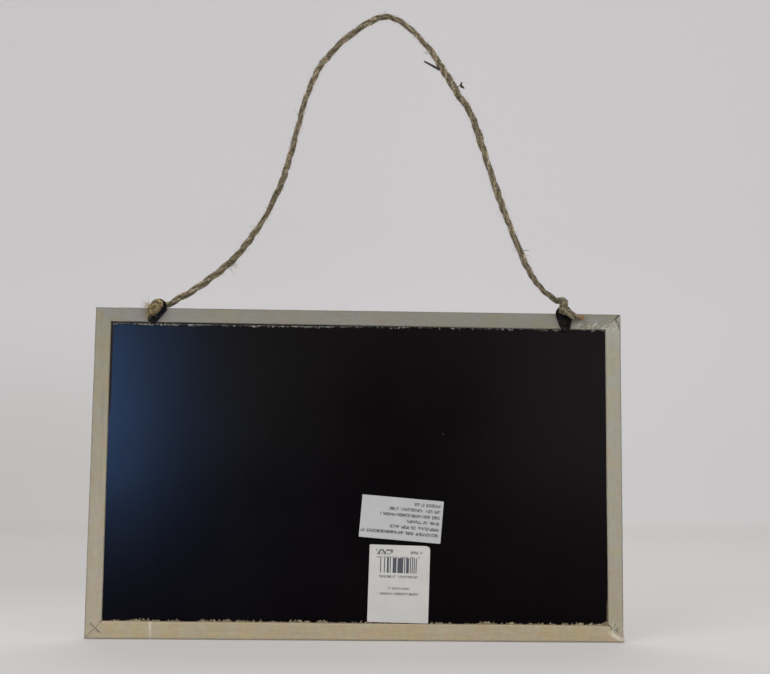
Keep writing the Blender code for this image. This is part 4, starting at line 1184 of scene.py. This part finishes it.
paint, tree, shader = new_finish("board_paint", 0.22, Specular_IOR_Level=0.04)
place = object_place(tree)
cloudy = blotches(tree, place, 0.035)
dust = placed(tree, SPECKS, Vector=place, Spacing=0.019, Size=0.00030, Share=0.25)
fibres = blotches(tree, place, 0.0008)
top_chip, foot_chip, dull_shade_edge, bare = (
    attribute(tree, name) for name in ("chipped_top", "chipped_foot", "dull_shade_left", "bare")
)
colour = layered(
    tree, mix(tree, cloudy, PAINT_BLACK, PAINT_CLOUD),
    (scaled(tree, dust, 0.15), SPECK_PALE),
    (top_chip, mix(tree, ramp(tree, fibres, 0.15, 0.70), FIBREBOARD_GREY, TORN_DARK)),
    (foot_chip, mix(tree, ramp(tree, fibres, 0.2, 0.9), FIBREBOARD_WARM, TORN_BROWN)),
    # painted shade: the dull brownish strip along the upper left edge
    (dull_shade_edge, SHADE_LINE_BROWN),
    (bare, mix(tree, fibres, BARE_BACK, BARE_FLECK)),
)
feed(tree, shader["Base Color"], colour)
dull = top_chip
for mask in (foot_chip, bare, dull_shade_edge):
    dull = math_node(tree, "MAXIMUM", dull, mask)
dull = scaled(tree, dull, 0.9)
feed(tree, shader["Roughness"], math_node(tree, "MAXIMUM", ramp(tree, cloudy, 0, 1, 0.21, 0.23), dull))
add_bump(tree, shader, blotches(tree, place, 0.0009), 0.000004)
make_piece(panel_mesh, paint, "chalkboard_black", "board", "chalk_panel")

# %% [markdown]
# ## The labels
#
# Two white paper labels are stuck on. Rows of grey ticks stand for small print, and a block of bars for
# a code, and neither spells or encodes anything. Paper that was pressed on by hand has small bubbles and
# lifts a little at its corners, so each label is a thin shell with a point every half millimetre. The
# print is worked out in the material, where its edges stay crisp.

# %% A paper label
PAPER_THICK = 0.00010
LABEL_STEP = 0.0005
CORNER_LIFT, CORNER_REACH = 0.00028, 0.006
BUBBLE_HEIGHT, BUBBLE_CELL = 0.00003, (0.007, 0.005, 1)


def paper_label(name, node, width, height, turn, radii, seed, lifts, drop):
    """A sheet in front of its solid's middle, turned clockwise as seen from the front.

    At a height v the sheet reaches from one side to the other, less r - sqrt(r*r - d*d) where d is how
    far v is into a rounded corner of radius r. Each corner lifts by the square of its nearness.
    """
    low, high = map(np.array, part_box(node))
    middle = (low + high) / 2 - (0, 0, drop)
    rows, columns = round(height / LABEL_STEP), round(width / LABEL_STEP)
    v = (np.linspace(0, 1, rows)[:, None] - 0.5) * height
    cut = np.zeros((2, rows, 1))
    for side, (upper, lower) in enumerate(((radii[0], radii[3]), (radii[1], radii[2]))):
        for radius, into in ((upper, v - height / 2 + upper), (lower, -v - height / 2 + lower)):
            into = np.clip(into, 0, radius)
            cut[side] += radius - np.sqrt(np.maximum(radius ** 2 - into ** 2, 0))
    share = np.linspace(0, 1, columns)[None]
    u = (-width / 2 + cut[0]) + (width - cut[0] - cut[1]) * share
    v = np.broadcast_to(v, u.shape)
    lift = np.zeros_like(u)
    for (side_u, side_v), amount in zip(((-1, 1), (1, 1), (1, -1), (-1, -1)), lifts):
        off = np.hypot(u - side_u * width / 2, v - side_v * height / 2) / CORNER_REACH
        lift += amount * CORNER_LIFT * np.clip(1 - off, 0, 1) ** 2
    bubbles = smooth_noise(np.stack([u, v, np.zeros_like(u)], axis=-1), BUBBLE_CELL, seed)
    front = low[1] - lift - BUBBLE_HEIGHT * (1 + bubbles)
    x = middle[0] + u * math.cos(turn) + v * math.sin(turn)
    z = middle[2] - u * math.sin(turn) + v * math.cos(turn)
    sheet = np.stack([x, front, z], axis=-1)
    behind = sheet + PAPER_THICK * INTO_WALL
    loop = np.concatenate([sheet, behind[:, ::-1]], axis=1)
    return closed_grid(name, loop, sharp=math.radians(60))


# %% [markdown]
# Small print seen from a step away is a row of grey ticks. In the material, a row's part of the label is
# cut into letters, and each letter into three strokes across and three up. A random number for each
# letter decides whether it is a gap between words, and one for each stroke whether it has ink. Bars for a
# code are the same idea in one tall row without strokes.

# %% Print that says nothing
PRINT, source, result = new_group("print_row", {
    "Vector": (0, 0, 0), "Left": 0.0, "Right": 0.01, "Foot": 0.0, "Head": 0.001,
    "Letter": 0.0008, "Ink": 0.85, "Stroke": 0.6, "Seed": 0.0,
})
STROKES_ACROSS, STROKES_UP, STROKE_SALT = 3.0, 3.0, 0.37


def cell_draw(across, up, salt):
    """A random number from 0 to 1 for each cell of a raster, another for each salt."""
    cell = new_node(PRINT, "ShaderNodeCombineXYZ")
    feed(PRINT, cell.inputs[0], math_node(PRINT, "FLOOR", across))
    feed(PRINT, cell.inputs[1], math_node(PRINT, "FLOOR", up))
    feed(PRINT, cell.inputs[2], salt)
    draw = new_node(PRINT, "ShaderNodeTexWhiteNoise", noise_dimensions="3D")
    feed(PRINT, draw.inputs["Vector"], cell.outputs[0])
    return draw.outputs["Value"]


split_place = new_node(PRINT, "ShaderNodeSeparateXYZ")
feed(PRINT, split_place.inputs[0], source["Vector"])
u, v = split_place.outputs[0], split_place.outputs[1]
letter_at = math_node(PRINT, "DIVIDE", u, source["Letter"])
row_high = math_node(PRINT, "SUBTRACT", source["Head"], source["Foot"])
up_share = math_node(PRINT, "DIVIDE", math_node(PRINT, "SUBTRACT", v, source["Foot"]), row_high)
across, up = scaled(PRINT, letter_at, STROKES_ACROSS), scaled(PRINT, up_share, STROKES_UP)
stroke_salt = math_node(PRINT, "ADD", source["Seed"], STROKE_SALT)
printed = math_node(PRINT, "LESS_THAN", cell_draw(letter_at, 0.0, source["Seed"]), source["Ink"])
for test in (
    math_node(PRINT, "LESS_THAN", cell_draw(across, up, stroke_salt), source["Stroke"]),
    math_node(PRINT, "GREATER_THAN", u, source["Left"]), math_node(PRINT, "LESS_THAN", u, source["Right"]),
    math_node(PRINT, "GREATER_THAN", v, source["Foot"]), math_node(PRINT, "LESS_THAN", v, source["Head"]),
):
    printed = scaled(PRINT, printed, test)
feed(PRINT, result, printed)

# %% Both labels
SOIL_TINT = (0.95, 0.95, 0.95)
INK_GREY = (0.060, 0.060, 0.064)
INK_BLACK = (0.030, 0.030, 0.034)


def paper_finish(name, node, paper, turn, blocks):
    """White paper with blocks of print, placed from the label's middle and turned with it."""
    material, tree, shader = new_finish(name, 0.5, Specular_IOR_Level=0.35)
    low, high = map(np.array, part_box(node))
    middle_x, middle_z = (low[0] + high[0]) / 2, (low[2] + high[2]) / 2
    centred = object_place(tree, shift=(-middle_x, 0, -middle_z))
    flat = new_node(tree, "ShaderNodeMapping")
    feed(tree, flat.inputs["Vector"], centred)
    feed(tree, flat.inputs["Rotation"], (math.radians(-90), 0, 0))
    turned = new_node(tree, "ShaderNodeMapping")
    feed(tree, turned.inputs["Vector"], flat.outputs[0])
    feed(tree, turned.inputs["Rotation"], (0, 0, turn))
    soiled = blotches(tree, centred, 0.009)
    colour = mix(tree, soiled, paper, tint(tree, paper, SOIL_TINT))
    for ink, strength, values in blocks:
        mask = placed(tree, PRINT, Vector=turned.outputs[0], **values)
        colour = mix(tree, scaled(tree, mask, strength), colour, ink)
    feed(tree, shader["Base Color"], colour)
    return material


def print_row(left, right, foot, head, seed, letter=0.00078, ink=0.93, stroke=0.72):
    """Values of one row of print, in metres from the label's middle."""
    names = ("Left", "Right", "Foot", "Head", "Seed", "Letter", "Ink", "Stroke")
    return dict(zip(names, (left, right, foot, head, seed, letter, ink, stroke)))


INFO_ROW_RUNS = (0.0120, 0.0236, 0.0276, 0.0150, 0.0226, 0.0359)
INFO_RIGHT, INFO_FIRST_HEAD, INFO_ROW_PITCH, INFO_LETTER_HIGH = 0.0175, 0.0079, 0.00268, 0.00145
info_print = [
    (INK_GREY, 0.88, print_row(INFO_RIGHT - run, INFO_RIGHT, head - INFO_LETTER_HIGH, head, 5.0 + row))
    for row, run in enumerate(INFO_ROW_RUNS) for head in (INFO_FIRST_HEAD - row * INFO_ROW_PITCH,)
]
price_print = [
    (INK_BLACK, 0.95, print_row(-0.0091, 0.0081, 0.0045, 0.0113, 8.0, 0.00044, 0.64, 1.0)),
    (INK_GREY, 0.60, print_row(-0.0104, 0.0096, 0.0111, 0.0120, 9.0)),
    (INK_GREY, 0.70, print_row(-0.0093, 0.0086, 0.0022, 0.0034, 6.0)),
    (INK_BLACK, 0.80, print_row(-0.0109, -0.0031, 0.0127, 0.0151, 4.0, 0.00156, 0.85, 0.74)),
    (INK_GREY, 0.70, print_row(0.0049, 0.0104, 0.0131, 0.0145, 1.0)),
    (INK_GREY, 0.65, print_row(-0.0051, 0.0050, -0.0030, -0.0020, 3.0)),
    (INK_GREY, 0.70, print_row(-0.0096, 0.0092, -0.0055, -0.0043, 7.0)),
]

# Form, node, size, turn, corners' radii, seed, corners' lifts, drop, paper and print of each label
LABELS = (
    ("wide", "label_info", (0.0376, 0.0193), math.radians(4.5), (0.0001,) * 4, 61,
     (0.5, 1.0, 0.3, 0.6), 0.0, (0.403, 0.408, 0.393), info_print),
    ("tall", "label_price", (0.0278, 0.0348), math.radians(1.3), (0.0002, 0.0018, 0.0002, 0.0002), 62,
     (0.4, 0.9, 0, 0), 0.00035, (0.492, 0.478, 0.452), price_print),
)
for form, node, size, turn, radii, seed, lifts, drop, paper, print_rows in LABELS:
    label_mesh = paper_label(f"paper_label_{form}", node, *size, turn, radii, seed, lifts, drop)
    finish = paper_finish(f"printed_paper_{form}", node, paper, turn, print_rows)
    make_piece(label_mesh, finish, "label_paper", "board", node)

# %% [markdown]
# ## The metal
#
# The hanger plates and their tacks are steel under black paint, satin and a little dusty, with the
# steel showing in small scratches. The staples went in before the wash, so they are dull and half
# covered. All of them keep their CAD shapes, and a finish made from the shared groups is enough.

# %% Black plates and tacks, washed-over staples
PLATE_BLACK, PLATE_DUST = (0.0028, 0.0022, 0.0018), (0.0085, 0.0066, 0.0048)
PLATE_SCRATCH = (0.10, 0.09, 0.08)

black_steel, tree, shader = new_finish("black_steel_paint", 0.55, Specular_IOR_Level=0.04)
place = object_place(tree)
worn = ramp(tree, blotches(tree, place, 0.0012), 0.90, 1.0)
dusty = blotches(tree, place, 0.004)
colour = layered(tree, PLATE_BLACK, (dusty, PLATE_DUST), (scaled(tree, worn, 0.6), PLATE_SCRATCH))
feed(tree, shader["Base Color"], colour)
feed(tree, shader["Roughness"], ramp(tree, dusty, 0, 1, 0.48, 0.68))
add_bump(tree, shader, blotches(tree, place, 0.0006), 0.00003)


def staple_finish(name, bare, covered):
    """Dull steel that shows where the wash has worn off it."""
    material, tree, shader = new_finish(name, 0.55)
    worn = ramp(tree, blotches(tree, object_place(tree), 0.0014), 0.75, 0.25)
    feed(tree, shader["Base Color"], mix(tree, worn, covered, bare))
    feed(tree, shader["Metallic"], scaled(tree, worn, 0.7))
    return material


dark_staple = staple_finish("dark_staple_steel", (0.100, 0.088, 0.064), (0.200, 0.178, 0.130))
washed_staple = staple_finish("washed_staple_steel", (0.150, 0.140, 0.115), (0.270, 0.260, 0.215))
metal_nodes = [name for name in frame["nodes"] if name.startswith(("hanger_", "staple_"))]
for name in metal_nodes:
    staple = dark_staple if name == "staple_bottom_left" else washed_staple
    mesh = frame["nodes"][name].data
    mesh.materials.clear()
    mesh.materials.append(black_steel if name.startswith("hanger_") else staple)
    mesh.shade_smooth()
print("metal finished on", len(metal_nodes), "solids")

# %% [markdown]
# ## Floor, backdrop and light
#
# The board stands on a white sweep: a floor that curves up into the wall behind, so that no line
# crosses the picture. Its shape is a profile of a flat run, a quarter circle and a straight wall,
# drawn sideways. The camera sees it in pale greys with painted shade and light in them, darker far back
# on the left and paler up the wall and to the right, mixed with a part that is really lit, which keeps
# the soft shadow under the board.

# %% The sweep
SWEEP_HALF_WIDTH = 3.0
SWEEP_FRONT, SWEEP_BACK = -3.0, 1.3
SWEEP_ROUND = 0.6
SWEEP_TOP = 3.0
FLOOR_FINE_FROM, FLOOR_POINTS, BEND_POINTS = -0.6, 20, 25
FLOOR_GAP = 0.0003
FLOOR_Z = float(bottom_low[2]) - FLOOR_GAP
EVEN_SHARE = 0.60
WALL_GREY = (0.658, 0.643, 0.662)
FLOOR_GREY = (0.532, 0.504, 0.488)
FAR_FLOOR_LEFT, FAR_FLOOR_RIGHT = (0.369, 0.360, 0.354), (0.460, 0.449, 0.443)
LOW_WALL_LEFT, LOW_WALL_RIGHT = (0.505, 0.492, 0.484), (0.604, 0.594, 0.594)
FLOOR_FADES_FROM, FLOOR_FADES_TO, WALL_PALE_FROM = 0.03, 0.27, 0.28
WALL_STARTS, WALL_STANDS = 0.80, 1.35
RIGHT_GAIN, SIDES_BLEND = (1.035, 1.035, 1.040), 0.2
LIT_GREY = (0.65, 0.635, 0.625)

bend = np.linspace(0, math.pi / 2, BEND_POINTS)
flat_y = np.concatenate([[SWEEP_FRONT], np.linspace(FLOOR_FINE_FROM, SWEEP_BACK, FLOOR_POINTS)])
bend_y = SWEEP_BACK + SWEEP_ROUND * np.sin(bend[1:])
profile_y = np.concatenate([flat_y, bend_y, bend_y[-1:]])
bend_z = FLOOR_Z + SWEEP_ROUND * (1 - np.cos(bend[1:]))
profile_z = np.concatenate([np.full_like(flat_y, FLOOR_Z), bend_z, [SWEEP_TOP]])
sides = np.array((-SWEEP_HALF_WIDTH, SWEEP_HALF_WIDTH))
sweep_points = np.stack([
    np.repeat(sides[None], len(profile_y), axis=0), np.repeat(profile_y[:, None], 2, axis=1),
    np.repeat(profile_z[:, None], 2, axis=1),
], axis=-1).reshape(-1, 3)
sweep_mesh = bpy.data.meshes.new("sweep")
strip = 2 * np.arange(len(profile_y) - 1)
sweep_faces = np.stack([strip, strip + 1, strip + 3, strip + 2], axis=-1)
sweep_mesh.from_pydata(sweep_points.tolist(), [], sweep_faces.tolist())
sweep_mesh.shade_smooth()
sweep = add_to_scene("sweep", sweep_mesh)

sweep_paper = bpy.data.materials.new("sweep_paper")
sweep_paper.use_nodes = True
tree = sweep_paper.node_tree
tree.nodes.remove(tree.nodes["Principled BSDF"])
lit = new_node(tree, "ShaderNodeBsdfDiffuse")
lit.inputs["Color"].default_value = (*LIT_GREY, 1)
even = new_node(tree, "ShaderNodeEmission")
height = new_node(tree, "ShaderNodeSeparateXYZ")
feed(tree, height.inputs[0], object_place(tree))
# painted shade and light in the camera's grey: darker where the floor runs back on the left, paler up the
# wall and to the right
fades_back = ramp(tree, height.outputs[1], FLOOR_FADES_FROM, FLOOR_FADES_TO)
paler_up = ramp(tree, height.outputs[2], FLOOR_Z, WALL_PALE_FROM)
paler_right = ramp(tree, height.outputs[0], -SIDES_BLEND, SIDES_BLEND)
floor = mix(tree, fades_back, FLOOR_GREY, mix(tree, paler_right, FAR_FLOOR_LEFT, FAR_FLOOR_RIGHT))
wall = mix(tree, paler_up, mix(tree, paler_right, LOW_WALL_LEFT, LOW_WALL_RIGHT), WALL_GREY)
paper = mix(tree, ramp(tree, height.outputs[1], WALL_STARTS, WALL_STANDS), floor, wall)
feed(tree, even.inputs["Color"], mix(tree, paler_right, paper, tint(tree, paper, RIGHT_GAIN)))
rays = new_node(tree, "ShaderNodeLightPath").outputs
in_gloss = math_node(tree, "MAXIMUM", rays["Is Glossy Ray"], rays["Is Transmission Ray"])
seen = math_node(tree, "MAXIMUM", rays["Is Camera Ray"], in_gloss)
both = new_node(tree, "ShaderNodeMixShader")
feed(tree, both.inputs[0], scaled(tree, seen, EVEN_SHARE))
tree.links.new(lit.outputs[0], both.inputs[1])
tree.links.new(even.outputs[0], both.inputs[2])
tree.links.new(both.outputs[0], tree.nodes["Material Output"].inputs["Surface"])
sweep_mesh.materials.append(sweep_paper)

# %% [markdown]
# Three soft lamps and a dim room light the board: a large one high on the left, a weaker one on the
# right and one behind it, whose shadow falls forward on the floor. Four more only show in gloss: a cool
# window low on the left, whose blurred reflection is the blue sheen on the panel's left side, the warm
# wall beside it, a pale room on the right and the ceiling. The camera sees the room as pale as the sweep.

# %% Lamps, room and view
def frame_from(back):
    """Rows of a turn whose third column is the given direction and whose second leans upward."""
    z = back / np.linalg.norm(back)
    x = np.cross((0, 0, 1), z)
    x /= np.linalg.norm(x)
    return np.stack([x, np.cross(z, x), z], axis=1).tolist()


def soft_lamp(name, place, aim, size, watts, colour=(1, 1, 1)):
    """A rectangular lamp at a place, turned to face its aim."""
    data = bpy.data.lights.new(name, "AREA")
    data.shape = "RECTANGLE"
    data.size, data.size_y = size
    data.energy, data.color = watts, colour
    lamp = add_to_scene(name, data)
    back = np.array(place) - np.array(aim)
    lamp.matrix_world = Matrix.Translation(place) @ Matrix(frame_from(back)).to_4x4()
    return lamp


BOARD_MIDDLE = (0, 0, -0.02)
ROOM_LIGHT, ROOM_SEEN = (0.350, 0.345, 0.340), (0.600, 0.585, 0.575)
LAMPS = (
    ("key_left", (-1.1, -1.3, 1.1), (1.2, 1.2), 26),
    ("fill_right", (1.3, -1.2, 0.6), (1.4, 1.2), 15),
    ("from_behind", (0.0, 0.80, 1.15), (1.2, 0.9), 13),
)
for name, place, size, watts in LAMPS:
    soft_lamp(name, place, BOARD_MIDDLE, size, watts)
GLOSS_LAMPS = (
    ("window_gloss", (-0.373, 0.017), (0.1665, 0.264), 7.6, (0.215, 0.455, 1.0)),
    ("wall_gloss", (-0.150, 0.040), (0.150, 0.200), 0.26, (1.0, 0.88, 0.25)),
    ("room_gloss", (0.400, 0.050), (0.400, 0.330), 1.40, (1.0, 0.93, 0.95)),
    ("ceiling_gloss", (0.0, 0.190), (1.300, 0.260), 1.25, (1.0, 0.90, 0.74)),
)
GLOSS_AWAY = -1.05
for name, (across, up), size, watts, glow in GLOSS_LAMPS:
    lamp = soft_lamp(name, (across, GLOSS_AWAY, up), (across, 0, up), size, watts, glow)
    lamp.visible_diffuse = False

world = bpy.data.worlds.new("room")
bpy.context.scene.world = world
world.use_nodes = True
tree = world.node_tree
seen = new_node(tree, "ShaderNodeLightPath").outputs["Is Camera Ray"]
feed(tree, tree.nodes["Background"].inputs["Color"], mix(tree, seen, ROOM_LIGHT, ROOM_SEEN))
tree.nodes["Background"].inputs["Strength"].default_value = 1.0
bpy.context.scene.view_settings.view_transform = "Standard"
print("lamps:", [lamp.name for lamp in bpy.data.lights])

# %% Import json
import json
